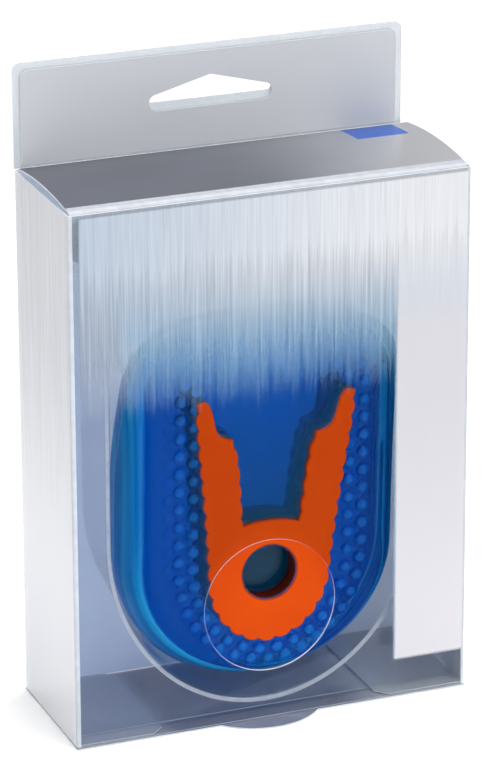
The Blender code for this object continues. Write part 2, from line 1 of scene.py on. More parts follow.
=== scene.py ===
"""Looks of a pair of gel heel cups in a clear hanging carton.

Lengths are in metres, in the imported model's own frame: +Z up, the carton's
front faces -Y. "Depth" is the distance behind the carton's front face.
"""
import math

import bmesh
import bpy
import numpy as np
from mathutils import Matrix, Vector


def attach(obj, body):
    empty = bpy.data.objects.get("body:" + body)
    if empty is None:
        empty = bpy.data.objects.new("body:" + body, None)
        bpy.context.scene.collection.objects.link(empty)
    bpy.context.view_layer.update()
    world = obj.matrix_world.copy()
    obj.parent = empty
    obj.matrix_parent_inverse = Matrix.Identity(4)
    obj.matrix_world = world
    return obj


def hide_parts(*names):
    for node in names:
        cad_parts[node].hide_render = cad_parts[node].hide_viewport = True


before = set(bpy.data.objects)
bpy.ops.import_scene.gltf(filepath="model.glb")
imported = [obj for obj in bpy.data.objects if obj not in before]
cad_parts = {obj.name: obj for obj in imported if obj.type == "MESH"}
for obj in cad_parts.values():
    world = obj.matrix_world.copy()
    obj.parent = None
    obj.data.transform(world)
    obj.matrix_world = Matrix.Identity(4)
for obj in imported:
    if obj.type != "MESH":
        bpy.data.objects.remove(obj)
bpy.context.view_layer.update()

# Carton
WIDTH = 0.105
DEPTH = 0.040
HEIGHT = 0.140
SHEET = 0.0004
GAP = 0.0003
FOLD_RADIUS = 0.0010
FRONT_BOW = 0.0003
TOUCH_RADIUS = 0.0175
TOUCH_X = -0.0010
TOUCH_Z = 0.0310
TOUCH_CHAMFER = 0.0002
THUMB_HALF_WIDTH = 0.0130
THUMB_REACH = 0.0058
THUMB_X = -0.0012
FLAP_REACH = 0.0230
FLAP_CHAMFER = 0.0030

# Lid
LID_BOW = 0.0012
LID_FOLD_RADIUS = 0.0022
LID_SIDE_INSET = 0.0007
TUCK_LENGTH = 0.012
TUCK_LEAN = math.radians(14.0)
TUCK_CORNER = 0.005

# Hang tab
TAB_HEIGHT = 0.0263
TAB_RIGHT_INSET = 0.0020
TAB_CORNER = 0.0020
FRONT_PLY_INSET = 0.0018
HANG_HALF_WIDTH = 0.01625
HANG_END = 0.0021
HANG_PEAK = 0.0059
HANG_PEAK_RADIUS = 0.0012
HANG_BASE = 0.0124
HANG_X = -0.0011
HANG_END_ROUNDING = 0.45
FRONT_HANG_DROP = 0.0021

# Tray
TRAY_FACE_DEPTH = 0.0055
TRAY_TOP_CLEARANCE = 0.0030
POCKET_HALF_WIDTH = 0.0410
POCKET_CENTRE_Z = 0.0507
POCKET_FLOOR_Z = 0.0038
POCKET_TOP_Z = 0.1150
POCKET_CORNER = 0.0200
POCKET_SIDE_DRAFT = 0.0042
POCKET_FLOOR_RISE = 0.0027
POCKET_LIP = 0.0015
# Cells of the tray's lip that carry a painted highlight
LIP_HIGHLIGHT_CELLS = slice(3, 5)

# Heel cups
CUP_FACE_DEPTH = 0.0030
CUP_LEAN = math.radians(1.2)
SOLE_HALF_WIDTH = 0.0323
SOLE_BOTTOM_Z = 0.0116
HEEL_CENTRE_Z = 0.0420
TOE_Z = 0.1045
TOE_CORNER = 0.0180
TOE_CROWN = 0.0012
SOLE_EDGE = 0.0030
SOLE_THICKNESS = 0.0070
TOE_THICKNESS = 0.0024
TOE_RIM = 0.0040
CUP_HEIGHT = 0.0145
THIN_FROM_Z = 0.0760
LOW_FROM_Z = 0.0600
WALL = 0.0016
RIM_EDGE = 0.0006
FLOOR_FILLET = 0.0015
FILLET_SHARE = 0.4
HEEL_FLARE_POWER = 0.72
SIDE_FLARE_POWER = 0.30
REAR_SIDE_FLARE = 0.0022
FRONT_SIDE_FLARE = 0.0040
FRONT_HEEL_FLARE = 0.0053
REAR_HEEL_FLARE = 0.0054

# Bumps on the soles
BUMP_RADIUS = 0.0016
BUMP_HEIGHT = 0.0009
BUMP_PITCH = 0.0047
BUMP_TOP_Z = 0.0930
DOME_POWER = 0.6
BUMP_ROWS = ((0.0079, 0.0040), (0.0115, 0.0066))

# Sunk panel between the pad's arms: how deep, and where its edges start and end
PANEL_RECESS = 0.0007
PANEL_SIDE = (0.0115, 0.0135)
PANEL_FOOT = (0.048, 0.051)
PANEL_HEAD = (0.090, 0.098)

# Shock pads
PAD_CENTRE_Z = 0.0387
PAD_LEAN = math.radians(2.4)
PAD_PROUD = 0.0002
PAD_RECESS = 0.0048
PAD_EDGE = 0.0005
RING_HOLE_RADIUS = 0.0070
RING_LIP = 0.0009
RING_HALF_WIDTH = 0.0157
RING_BOTTOM = 0.0179
RING_TOP = 0.0139
ARCH_WIDTH = 1.05 * RING_HALF_WIDTH
ARM_REACH = 0.0473
ARM_SPREAD = 0.0207
SCALLOP_PITCH = 0.0047
SCALLOP_DEPTH = 0.0008
SCALLOP_POWER = 0.8
INNER_SCALLOPS = 5
INNER_SCALLOP_DEPTH = 0.0006
SOAK = 0.00005
ARM_OUTLINE = (
    (0.27, 0.815, 0.385),
    (0.45, 0.865, 0.425),
    (0.62, 0.915, 0.465),
    (0.71, 0.945, 0.510),
    (0.77, 0.960, 0.570),
    (0.79, 0.965, 0.690),
    (0.83, 0.975, 0.755),
    (0.92, 0.995, 0.800),
    (0.98, 0.985, 0.850),
)
ARM_TIP_SHARE = 0.935

# Steps that the skins are divided into. A U outline has them along its heel,
# side, toe corner and toe, and the lid along its panel, fold and tuck corner
# and across.
WALL_STEPS = (40, 16, 40, 16)
WALL_ROWS = 60
FOLD_STEPS = 6
THUMB_STEPS = 48
HANG_STEPS = (10, 9, 6)
TAB_CORNER_STEPS = 12
LID_STEPS = (32, 20, 10, 40)
POCKET_STEPS = (36, 24, 16, 12)
POCKET_BEND_STEPS = 6
POCKET_WALL_STEPS = 12
POCKET_FLOOR_SHARES = (0.66, 0.33, 0.0)
FRONT_CUP_STEPS = (96, 96, 36, 24)
REAR_CUP_STEPS = (64, 64, 24, 16)
BUMP_PATH_STEPS = (14, 5, 6, 2)
EDGE_STEPS = 8
CUP_WALL_STEPS = 18
CUP_WALL_CROWDING = 1.8
RIM_STEPS = 4
FILLET_STEPS = 5
INSIDE_STEPS = 8
RING_STEPS = 24
SCALLOP_STEPS = 12
ARCH_STEPS = 24
SHOULDER_END = 4
PAD_EDGE_STEPS = 5
LIP_STEPS = 8
TOUCH_SIDES = 128
RING_SIDES = 96
CORNER_CUT = 0.25

# Unit of the cutters' reach past what they cut, and lengths taken as nothing
CUT_REACH = 0.001
WELD = 1e-6
NOTHING = 1e-12

# Print on the front wall: where its streaks start and where it is whole, the
# far left part that stays silver, the pale strip, and the edges it stops at
FADE_LOW = 0.0870
FADE_HIGH = 0.1240
FADE_SWING = 0.026
BLUE_TOP = 0.122
BLUE_FOOT = 0.088
BLUE_LEFT = (-0.044, -0.026)
STRIP_LEFT = 0.0322
STRIP_FOOT = 0.0100
STRIP_TOP = (0.098, 0.124)
STRIP_EDGE = 0.0012
STRIP_COVER = 0.94
PRINT_LEFT = -0.0502
PRINT_TOP = 0.1388
MARGIN_EDGE = 0.0008
MARGIN_COVER = 0.30

# Plain blue patch on the lid: axis, low and high
LID_PATCH = ((0, 0.0330, 0.0470), (1, 0.0060, 0.0176))
PATCH_EDGE = 0.0002

FRONT_Y = -DEPTH / 2
BACK_Y = DEPTH / 2
WALL_FOOT_Z = SHEET + GAP
WALL_TOP_Z = HEIGHT - SHEET - GAP
PLY_STEP = SHEET + GAP
FRONT_PLY_Y = BACK_Y - SHEET - PLY_STEP
HINGE_Y = FRONT_PLY_Y - GAP - SHEET
TRAY_FOOT_Z = WALL_FOOT_Z + SHEET + GAP
TRAY_BACK_DEPTH = DEPTH - SHEET - GAP
REAR_CUP_DEPTH = CUP_FACE_DEPTH + SOLE_THICKNESS + GAP + BUMP_HEIGHT
HEEL_DROP = HEEL_CENTRE_Z - SOLE_BOTTOM_Z

# Camera, worked out from the carton's corners
CAMERA_PLACE = (-0.36886, -0.93883, 0.45974)
CAMERA_AZIMUTH = math.radians(-21.48)
CAMERA_ELEVATION = math.radians(20.46)
CAMERA_ROLL = math.radians(-0.21)
CAMERA_LENS = 203.37


def rgb(code):
    """Linear colour, with alpha 1, of an sRGB hex code."""
    parts = [int(code[i:i + 2], 16) / 255 for i in (0, 2, 4)]
    linear = [p / 12.92 if p <= 0.04045 else ((p + 0.055) / 1.055) ** 2.4 for p in parts]
    return (*linear, 1.0)


def add(tree, kind, settings=None, values=None, links=None):
    """Add a shader node with attributes, input values and links into its inputs."""
    made = tree.nodes.new("ShaderNode" + kind)
    for key, value in (settings or {}).items():
        setattr(made, key, value)
    for key, value in (values or {}).items():
        made.inputs[key].default_value = value
    for key, socket in (links or {}).items():
        tree.links.new(socket, made.inputs[key])
    return made


def new_material(name):
    """An empty node material and its output node."""
    made = bpy.data.materials.new(name)
    made.use_nodes = True
    made.node_tree.nodes.clear()
    return made, made.node_tree, add(made.node_tree, "OutputMaterial")


def ramp(tree, socket, low, high):
    """0 below low, 1 above high, smooth between."""
    return add(tree, "MapRange", {"interpolation_type": "SMOOTHSTEP"},
               {"From Min": low, "From Max": high}, {"Value": socket}).outputs["Result"]


def maths(tree, operation, first, second):
    """A Math node on two sockets or numbers."""
    made = add(tree, "Math", {"operation": operation})
    for slot, given in enumerate((first, second)):
        if isinstance(given, (int, float)):
            made.inputs[slot].default_value = given
        else:
            tree.links.new(given, made.inputs[slot])
    return made.outputs[0]


def between(tree, share, low, high):
    """low where a share is 0 and high where it is 1."""
    return maths(tree, "ADD", low, maths(tree, "MULTIPLY", share, high - low))


def mix(tree, factor, first, second):
    """Blend two colours, each a socket or an sRGB hex code."""
    values, links = {}, {}
    for slot, given in ((0, factor), (6, first), (7, second)):
        if isinstance(given, str):
            values[slot] = rgb(given)
        elif isinstance(given, float):
            values[slot] = given
        else:
            links[slot] = given
    return add(tree, "Mix", {"data_type": "RGBA"}, values, links).outputs[2]


def noise(tree, coords, scale, detail=2.0):
    """Noise of a scale in 1/m, which may differ along each axis."""
    if isinstance(scale, tuple):
        coords = add(tree, "Mapping", values={"Scale": scale}, links={"Vector": coords}).outputs[0]
        scale = 1.0
    return add(tree, "TexNoise", values={"Scale": scale, "Detail": detail},
               links={"Vector": coords}).outputs["Fac"]


def stretched(tree, grain):
    """A grain that lies round a half, stretched over the range from 0 to 1."""
    return add(tree, "MapRange", values={"From Min": 0.30, "From Max": 0.70},
               links={"Value": grain}).outputs[0]


def waviness(tree, coords, scale, strength):
    """Normal of a sheet that isn't quite flat."""
    return add(tree, "Bump", values={"Strength": strength, "Distance": 0.004},
               links={"Height": noise(tree, coords, scale, 1.0)}).outputs[0]


def sheet_material(name, paint, shine=0.04, tint="f4f8fb", metallic=0.3, roughness=0.34):
    """Thin PET sheet, clear or printed.

    paint(tree, places, grain) gives the print's cover, a socket or a number,
    and its colour. The grain is brushed: streaks 0.4 mm wide and 22 mm long,
    mixed with some 1 mm wide. The bare sheet is see-through, and its gloss grows
    from shine towards grazing angles, alike on both faces.
    """
    made, tree, output = new_material(name)
    coords = add(tree, "TexCoord").outputs["Object"]
    places = add(tree, "SeparateXYZ", links={0: coords}).outputs
    fine = noise(tree, coords, (2600.0, 2600.0, 46.0), 3.0)
    broad = noise(tree, coords, (1000.0, 1000.0, 18.0), 2.0)
    grain = maths(tree, "ADD", maths(tree, "MULTIPLY", fine, 0.65),
                  maths(tree, "MULTIPLY", broad, 0.35))
    bump = waviness(tree, coords, 22.0, 0.2)
    cover, colour = paint(tree, places, grain)
    print_bsdf = add(tree, "BsdfPrincipled", values={"Metallic": metallic, "Roughness": roughness},
                     links={"Base Color": colour, "Normal": bump})
    bare = add(tree, "BsdfTransparent", values={"Color": rgb(tint)})
    body = add(tree, "MixShader", links={1: bare.outputs[0], 2: print_bsdf.outputs[0]})
    if isinstance(cover, float):
        body.inputs[0].default_value = cover
    else:
        tree.links.new(cover, body.inputs[0])
    gloss = add(tree, "BsdfGlossy", values={"Roughness": 0.05}, links={"Normal": bump})
    facing = add(tree, "LayerWeight", values={"Blend": 0.5}, links={"Normal": bump}).outputs["Facing"]
    rim = between(tree, maths(tree, "POWER", facing, 5.0), shine, 1.0)
    final = add(tree, "MixShader", links={0: rim, 1: body.outputs[0], 2: gloss.outputs[0]})
    tree.links.new(final.outputs[0], output.inputs["Surface"])
    return made


def paint_front(tree, places, grain):
    """Brushed silver above, turning light blue and fading in streaks to clear sheet.

    The far left stays silver, a whitish strip stands at the right, and the print
    stops short of the folds.
    """
    x, z = places[0], places[2]
    swing = maths(tree, "MULTIPLY", maths(tree, "SUBTRACT", grain, 0.5), FADE_SWING)
    fade = add(tree, "MapRange", values={"From Min": FADE_LOW, "From Max": FADE_HIGH},
               links={"Value": maths(tree, "ADD", z, swing)}).outputs[0]
    past_strip_left = ramp(tree, x, STRIP_LEFT, STRIP_LEFT + STRIP_EDGE)
    strip = maths(tree, "MULTIPLY", ramp(tree, z, STRIP_FOOT, STRIP_FOOT + STRIP_EDGE), past_strip_left)
    cover = maths(tree, "MAXIMUM", fade, maths(tree, "MULTIPLY", strip, STRIP_COVER))
    inside_left = ramp(tree, x, PRINT_LEFT, PRINT_LEFT + MARGIN_EDGE)
    inside_top = ramp(tree, maths(tree, "MULTIPLY", z, -1.0), -PRINT_TOP, MARGIN_EDGE - PRINT_TOP)
    inside = maths(tree, "MULTIPLY", inside_left, inside_top)
    cover = maths(tree, "MULTIPLY", cover, between(tree, inside, MARGIN_COVER, 1.0))
    tone = stretched(tree, grain)
    across = ramp(tree, x, -0.058, 0.050)
    silver = mix(tree, tone, mix(tree, across, "96a3b3", "bfc1c6"), mix(tree, across, "b2bdca", "d5d6da"))
    blue = mix(tree, tone, "6aa4c8", "9ac6de")
    at_left = maths(tree, "SUBTRACT", 1.0, ramp(tree, x, *BLUE_LEFT))
    upper = mix(tree, maths(tree, "MAXIMUM", ramp(tree, z, BLUE_FOOT, BLUE_TOP), at_left), blue, silver)
    white = mix(tree, ramp(tree, z, STRIP_FOOT, 0.090), "cfced4", "c4c3c9")
    lower = mix(tree, past_strip_left, upper, white)
    return cover, mix(tree, ramp(tree, z, *STRIP_TOP), lower, upper)


def paint_side(tree, places, grain):
    """Whitish silver, streaked above, thinner towards the foot."""
    z = places[2]
    streaked = mix(tree, stretched(tree, grain), "a2a5ad", "c5c7cd")
    colour = mix(tree, ramp(tree, z, 0.030, 0.110), "dadbe0", streaked)
    return between(tree, ramp(tree, z, -0.010, 0.090), 0.82, 0.90), colour


def paint_bottom(tree, places, grain):
    """Grey tint, paler on the two flaps and palest on the right one, as a painted reflection."""
    x = places[0]
    middle = mix(tree, grain, "8c90a2", "aeb2c2")
    # Painted reflection: the flaps turn paler and the right one white.
    left = mix(tree, ramp(tree, maths(tree, "MULTIPLY", x, -1.0), 0.024, 0.032), middle, "dde1ea")
    return 0.62, mix(tree, ramp(tree, x, 0.018, 0.032), left, "ffffff")


def paint_back(tree, places, grain):
    """Pale tint, thicker towards the right, and whiter there as painted light."""
    print_and_painted_light_at_right = ramp(tree, places[0], 0.010, 0.045)
    pale = mix(tree, grain, "b8c6dc", "d4e0f0")
    # Painted light: the colour turns white towards the right.
    return between(tree, print_and_painted_light_at_right, 0.38, 0.58), mix(tree, print_and_painted_light_at_right, pale, "ffffff")


def paint_even(cover, dark, light):
    """An even print of one cover, a little uneven in tone."""
    def paint(tree, places, grain):
        return cover, mix(tree, grain, dark, light)
    return paint


def edge_material(name, cover, colour="f2f5f8", dark="ccd4dc"):
    """Cut or folded PET, which scatters light and looks white. On the folds of the walls and lid the lighter
    colour is partly a painted highlight, and on the tray's lip it is a painted highlight.
    """
    made, tree, output = new_material(name)
    coords = add(tree, "TexCoord").outputs["Object"]
    bright = mix(tree, noise(tree, coords, 400.0), dark, colour)
    solid = add(tree, "BsdfPrincipled", values={"Roughness": 0.25}, links={"Base Color": bright})
    clear = add(tree, "BsdfTransparent", values={"Color": rgb("f4f8fb")})
    final = add(tree, "MixShader", values={0: cover},
                links={1: clear.outputs[0], 2: solid.outputs[0]})
    tree.links.new(final.outputs[0], output.inputs["Surface"])
    return made


def tab_material():
    """The tab's front ply, PET printed satin silver."""
    made, tree, output = new_material("tab_satin_silver")
    coords = add(tree, "TexCoord").outputs["Object"]
    tone = mix(tree, noise(tree, coords, (14.0, 14.0, 40.0)), "b3b6bd", "c6c8cc")
    body = add(tree, "BsdfPrincipled", values={"Roughness": 0.55, "Specular IOR Level": 0.2},
               links={"Base Color": tone, "Normal": waviness(tree, coords, 14.0, 0.3)})
    tree.links.new(body.outputs[0], output.inputs["Surface"])
    return made


def lid_material():
    """The lid's satin silver print, painted dark at its left end and lighter towards the right as a painted
    reflection, with one plain blue printed rectangle near its right end.
    """
    made, tree, output = new_material("lid_satin_silver")
    coords = add(tree, "TexCoord").outputs["Object"]
    places = add(tree, "SeparateXYZ", links={0: coords}).outputs
    inside = None
    for axis, low, high in LID_PATCH:
        past = ramp(tree, places[axis], low - PATCH_EDGE, low + PATCH_EDGE)
        beyond = ramp(tree, places[axis], high - PATCH_EDGE, high + PATCH_EDGE)
        span = maths(tree, "SUBTRACT", past, beyond)
        inside = span if inside is None else maths(tree, "MULTIPLY", inside, span)
    # Painted reflection: dark at the left end, lightening towards the right.
    painted_dark_reflection = mix(tree, noise(tree, coords, 40.0), "6e717b", "7e818b")
    silver = mix(tree, ramp(tree, places[0], -0.010, 0.055), painted_dark_reflection, "cacbcf")
    colour = mix(tree, inside, silver, "10489c")
    shine = maths(tree, "MULTIPLY", maths(tree, "SUBTRACT", 1.0, inside), 0.8)
    body = add(tree, "BsdfPrincipled", values={"Roughness": 0.30},
               links={"Base Color": colour, "Metallic": shine, "Normal": waviness(tree, coords, 18.0, 0.3)})
    tree.links.new(body.outputs[0], output.inputs["Surface"])
    return made


def from_ring_centre(tree, coords):
    """Distance from the axis of the pads' round holes."""
    place = {"Location": (0.0, 0.0, -PAD_CENTRE_Z), "Scale": (1.0, 0.0, 1.0)}
    centred = add(tree, "Mapping", values=place, links={"Vector": coords})
    return add(tree, "VectorMath", {"operation": "LENGTH"}, links={0: centred.outputs[0]}).outputs["Value"]


def gel_material():
    """Clear blue elastomer gel that soaks up red, with a share of milkiness.

    The mesh's "dome" attribute runs from 0 off the bumps to 1 at their tops,
    which carry a painted highlight, while their feet carry painted shade. Its
    "wall" attribute is 1 on the thin walls, which carry a painted cyan glow in
    streaky stripes along their length, standing in for light carried through the
    thin gel. Its "panel" attribute is 1 at the foot of the sunk panel between the
    pad's arms, which carries painted shade in dark teal, and the gel within the
    round hole's radius carries painted shade in dark teal too.
    """
    made, tree, output = new_material("blue_gel")
    coords = add(tree, "TexCoord").outputs["Object"]
    weave = noise(tree, coords, (60.0, 60.0, 2600.0))
    bump = add(tree, "Bump", values={"Strength": 0.08, "Distance": 0.0002},
               links={"Height": weave}).outputs[0]
    dome, wall, panel = (add(tree, "Attribute", {"attribute_name": mark}).outputs["Fac"]
                         for mark in ("dome", "wall", "panel"))
    # Painted highlight on the bump tops and painted shade round their feet.
    top = ramp(tree, dome, 0.05, 0.70)
    foot = maths(tree, "SUBTRACT", ramp(tree, dome, 0.0, 0.08), ramp(tree, dome, 0.10, 0.40))
    reach = from_ring_centre(tree, coords)
    # Painted shade: the gel within the round hole's radius turns dark teal.
    off_hole = ramp(tree, reach, RING_HOLE_RADIUS - SOAK, RING_HOLE_RADIUS + 2 * SOAK)
    sunk = maths(tree, "SUBTRACT", 1.0, off_hole)
    # Painted glow: cyan streaks on the thin walls stand in for light carried through the thin gel.
    painted_wall_glow = ramp(tree, noise(tree, coords, (6.0, 420.0, 6.0), 1.0), 0.38, 0.62)
    sole = mix(tree, noise(tree, coords, 60.0), "0064c0", "0070cc")
    # Painted shade: the sunk panel between the pad's arms turns dark teal.
    sole = mix(tree, panel, sole, "004e74")
    tone = mix(tree, wall, sole, mix(tree, painted_wall_glow, "0090e4", "30ccff"))
    tone = mix(tree, top, tone, "0c80de")
    tone = mix(tree, foot, tone, "002e86")
    tone = mix(tree, sunk, tone, "003c58")
    # More milk where the painted highlight, painted shade and painted glow lie, so that they show.
    share = maths(tree, "MULTIPLY", maths(tree, "MAXIMUM", top, foot), 0.24)
    for place, milkier in ((sunk, 0.45), (wall, 0.42), (panel, 0.22)):
        share = maths(tree, "MAXIMUM", share, maths(tree, "MULTIPLY", place, milkier))
    share = maths(tree, "ADD", share, 0.18)
    milk = add(tree, "BsdfPrincipled",
               values={"Roughness": 0.16, "IOR": 1.42, "Specular IOR Level": 0.25},
               links={"Base Color": tone, "Normal": bump})
    clear = add(tree, "BsdfGlass", values={"Color": rgb("f4faff"), "Roughness": 0.03, "IOR": 1.18},
                links={"Normal": bump})
    body = add(tree, "MixShader", links={0: share, 1: clear.outputs[0], 2: milk.outputs[0]})
    through = add(tree, "BsdfTransparent", values={"Color": (0.75, 0.88, 0.97, 1.0)})
    lamp = add(tree, "LightPath")
    final = add(tree, "MixShader", links={0: lamp.outputs["Is Shadow Ray"], 1: body.outputs[0],
                                          2: through.outputs[0]})
    soak = add(tree, "VolumeAbsorption", values={"Color": (0.0, 0.83, 0.962, 1.0), "Density": 560.0})
    tree.links.new(final.outputs[0], output.inputs["Surface"])
    tree.links.new(soak.outputs[0], output.inputs["Volume"])
    return made


def pad_material():
    """Satin orange moulded elastomer with a fine pebbled skin, with painted shade down the hole's wall."""
    made, tree, output = new_material("orange_elastomer")
    coords = add(tree, "TexCoord").outputs["Object"]
    bump = add(tree, "Bump", values={"Strength": 0.15, "Distance": 0.0001},
               links={"Height": noise(tree, coords, 1500.0)}).outputs[0]
    reach = from_ring_centre(tree, coords)
    skin_tone = mix(tree, noise(tree, coords, 70.0), "cc4000", "d64c00")
    # Painted shade: the hole's wall turns dark brown below the lip.
    outside_painted_wall_shade = ramp(tree, reach, RING_HOLE_RADIUS, RING_HOLE_RADIUS + RING_LIP)
    colour = mix(tree, outside_painted_wall_shade, "4a1402", skin_tone)
    body = add(tree, "BsdfPrincipled",
               values={"Roughness": 0.45, "Specular IOR Level": 0.06},
               links={"Base Color": colour, "Normal": bump})
    tree.links.new(body.outputs[0], output.inputs["Surface"])
    return made


def floor_material():
    """Plain pale studio floor."""
    made, tree, output = new_material("pale_floor")
    coords = add(tree, "TexCoord").outputs["Object"]
    body = add(tree, "BsdfPrincipled", values={"Roughness": 0.6},
               links={"Base Color": mix(tree, noise(tree, coords, 3.0), "f6f6f7", "fafafa")})
    tree.links.new(body.outputs[0], output.inputs["Surface"])
    return made


def new_object(name, data):
    """An object with its data, linked to the scene."""
    made = bpy.data.objects.new(name, data)
    bpy.context.scene.collection.objects.link(made)
    return made


def finish_object(name, mesh, body, nodes, smooth=35.0):
    """Link a mesh as a named piece that rides on a body and stands for nodes.

    smooth is the angle in degrees up to which its faces shade as one.
    """
    mesh.name = name
    mesh.shade_smooth()
    mesh.set_sharp_from_angle(angle=math.radians(smooth))
    made = new_object(name, mesh)
    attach(made, body)
    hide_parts(*nodes)


def skin(points, wrap=True, index=None):
    """Mesh of a grid of points (rows, columns, 3), one quad a cell.

    wrap joins the last column to the first. index gives each cell's material.
    """
    rows, columns, _ = points.shape
    cells = columns if wrap else columns - 1
    r, c = np.meshgrid(np.arange(rows - 1), np.arange(cells), indexing="ij")
    nxt = (c + 1) % columns
    quads = np.stack([r * columns + c, r * columns + nxt, (r + 1) * columns + nxt,
                      (r + 1) * columns + c], -1).reshape(-1, 4)
    mesh = bpy.data.meshes.new("skin")
    mesh.from_pydata(points.reshape(-1, 3), [], quads)
    if index is not None:
        mesh.polygons.foreach_set("material_index", np.broadcast_to(index, (rows - 1, cells)).ravel())
    return mesh


def close_ends(mesh, rows, columns):
    """Close a skin's first and last row with one face each."""
    shape = bmesh.new()
    shape.from_mesh(mesh)
    shape.verts.ensure_lookup_table()
    for first in (0, (rows - 1) * columns):
        shape.faces.new([shape.verts[first + i] for i in range(columns)])
    bmesh.ops.recalc_face_normals(shape, faces=shape.faces)
    shape.to_mesh(mesh)
    shape.free()


def settle(mesh, solidify=None, cutters=(), materials=(), weld=None):
    """Give a mesh thickness and cut it, and return the finished mesh."""
    if weld:
        shape = bmesh.new()
        shape.from_mesh(mesh)
        bmesh.ops.remove_doubles(shape, verts=shape.verts, dist=weld)
        bmesh.ops.recalc_face_normals(shape, faces=shape.faces)
        shape.to_mesh(mesh)
        shape.free()
    for material in materials:
        mesh.materials.append(material)
    holder = new_object("holder", mesh)
    if solidify:
        step = holder.modifiers.new("Wall", "SOLIDIFY")
        step.thickness, step.offset, step.material_offset_rim = solidify
        step.use_even_offset = True
    tools = []
    for cutter in cutters:
        tool = new_object("cutter", cutter)
        step = holder.modifiers.new("Cut", "BOOLEAN")
        step.object = tool
        step.operation = "DIFFERENCE"
        step.solver = "EXACT"
        step.material_mode = "TRANSFER"
        tools.append(tool)
    bpy.context.view_layer.update()
    graph = bpy.context.evaluated_depsgraph_get()
    done = bpy.data.meshes.new_from_object(holder.evaluated_get(graph))
    for old in [holder, *tools]:
        bpy.data.objects.remove(old, do_unlink=True)
    return done


def prism(outline, start, thickness, upright, face_slot=0, side_slot=1, materials=()):
    """Closed plate from an outline: in X and Z pushed along +Y, or in X and Y pushed up."""
    shape = bmesh.new()
    if upright:
        corners = [shape.verts.new((x, start, z)) for x, z in outline]
        push = (0.0, thickness, 0.0)
    else:
        corners = [shape.verts.new((x, y, start)) for x, y in outline]
        push = (0.0, 0.0, thickness)
    face = shape.faces.new(corners)
    grown = bmesh.ops.extrude_face_region(shape, geom=[face])
    moved = [part for part in grown["geom"] if isinstance(part, bmesh.types.BMVert)]
    bmesh.ops.translate(shape, verts=moved, vec=push)
    bmesh.ops.recalc_face_normals(shape, faces=shape.faces)
    for side in shape.faces:
        side.material_index = side_slot if len(side.verts) == 4 else face_slot
    mesh = bpy.data.meshes.new("prism")
    shape.to_mesh(mesh)
    shape.free()
    for material in materials:
        mesh.materials.append(material)
    return mesh


def turned(profile, centre_x, centre_z, sides, material):
    """Closed turned solid along Y from rows of (radius, y), front first."""
    angles = np.linspace(0.0, 2 * math.pi, sides, endpoint=False)
    rows = np.array(profile, float)
    ring = np.stack([np.cos(angles), np.sin(angles)], 1)
    x = centre_x + rows[:, None, 0] * ring[None, :, 0]
    z = centre_z + rows[:, None, 0] * ring[None, :, 1]
    y = np.broadcast_to(rows[:, None, 1], x.shape)
    mesh = skin(np.stack([x, y, z], -1))
    close_ends(mesh, len(rows), sides)
    mesh.materials.append(material)
    return mesh


def arc(centre, radius, start, end, steps):
    """Points of a circular arc, both ends included."""
    angles = np.linspace(start, end, steps + 1)
    return np.stack([centre[0] + radius * np.cos(angles), centre[1] + radius * np.sin(angles)], 1)


def quarter(steps):
    """Angles of a quarter turn, both ends included."""
    return np.linspace(0.0, math.pi / 2, steps + 1)


def make_walls(front, left, right, back, fold, cut):
    """Four walls of thin sheet.

    Columns run round a rectangle with rounded corners and rows run up. The
    front wall bows inwards by a parabola in X times a sine in Z.
    """
    fold_slot, cut_slot = 4, 5
    half_x, half_y, r = WIDTH / 2, DEPTH / 2, FOLD_RADIUS
    corners = ((half_x - r, -half_y + r, -math.pi / 2), (half_x - r, half_y - r, 0.0),
               (-half_x + r, half_y - r, math.pi / 2), (-half_x + r, -half_y + r, math.pi))
    path, index = [], []
    for side, (x, y, start) in enumerate(corners):
        previous = corners[side - 1]
        begin = arc(previous[:2], r, previous[2], previous[2] + math.pi / 2, FOLD_STEPS)[-1]
        stop = arc((x, y), r, start, start + math.pi / 2, FOLD_STEPS)
        line = begin + np.linspace(0.0, 1.0, WALL_STEPS[side], endpoint=False)[:, None] * (stop[0] - begin)
        path += [line, stop[:-1]]
        index += [side] * WALL_STEPS[side] + [fold_slot] * FOLD_STEPS
    path = np.concatenate(path)
    z = np.linspace(WALL_FOOT_Z, WALL_TOP_Z, WALL_ROWS + 1)
    points = np.empty((len(z), len(path), 3))
    points[:, :, 0] = path[None, :, 0]
    points[:, :, 1] = path[None, :, 1]
    points[:, :, 2] = z[:, None]
    is_front = path[:, 1] <= -half_y + WELD
    bow = np.clip(1 - (path[:, 0] / (half_x - r)) ** 2, 0.0, 1.0) * is_front
    points[:, :, 1] += FRONT_BOW * bow[None, :] * np.sin(math.pi * z / HEIGHT)[:, None]
    mesh = skin(points, True, np.array(index))
    lip = TOUCH_RADIUS + TOUCH_CHAMFER
    hole = turned([(lip + 2 * CUT_REACH, FRONT_Y - 2 * CUT_REACH), (lip, FRONT_Y),
                   (TOUCH_RADIUS, FRONT_Y + TOUCH_CHAMFER), (TOUCH_RADIUS, FRONT_Y + 3 * CUT_REACH)],
                  TOUCH_X, TOUCH_Z, TOUCH_SIDES, cut)
    mesh = settle(mesh, (SHEET, -1.0, cut_slot), [hole], [front, right, back, left, fold, cut])
    finish_object("carton_walls", mesh, "carton", ["carton_sleeve"])


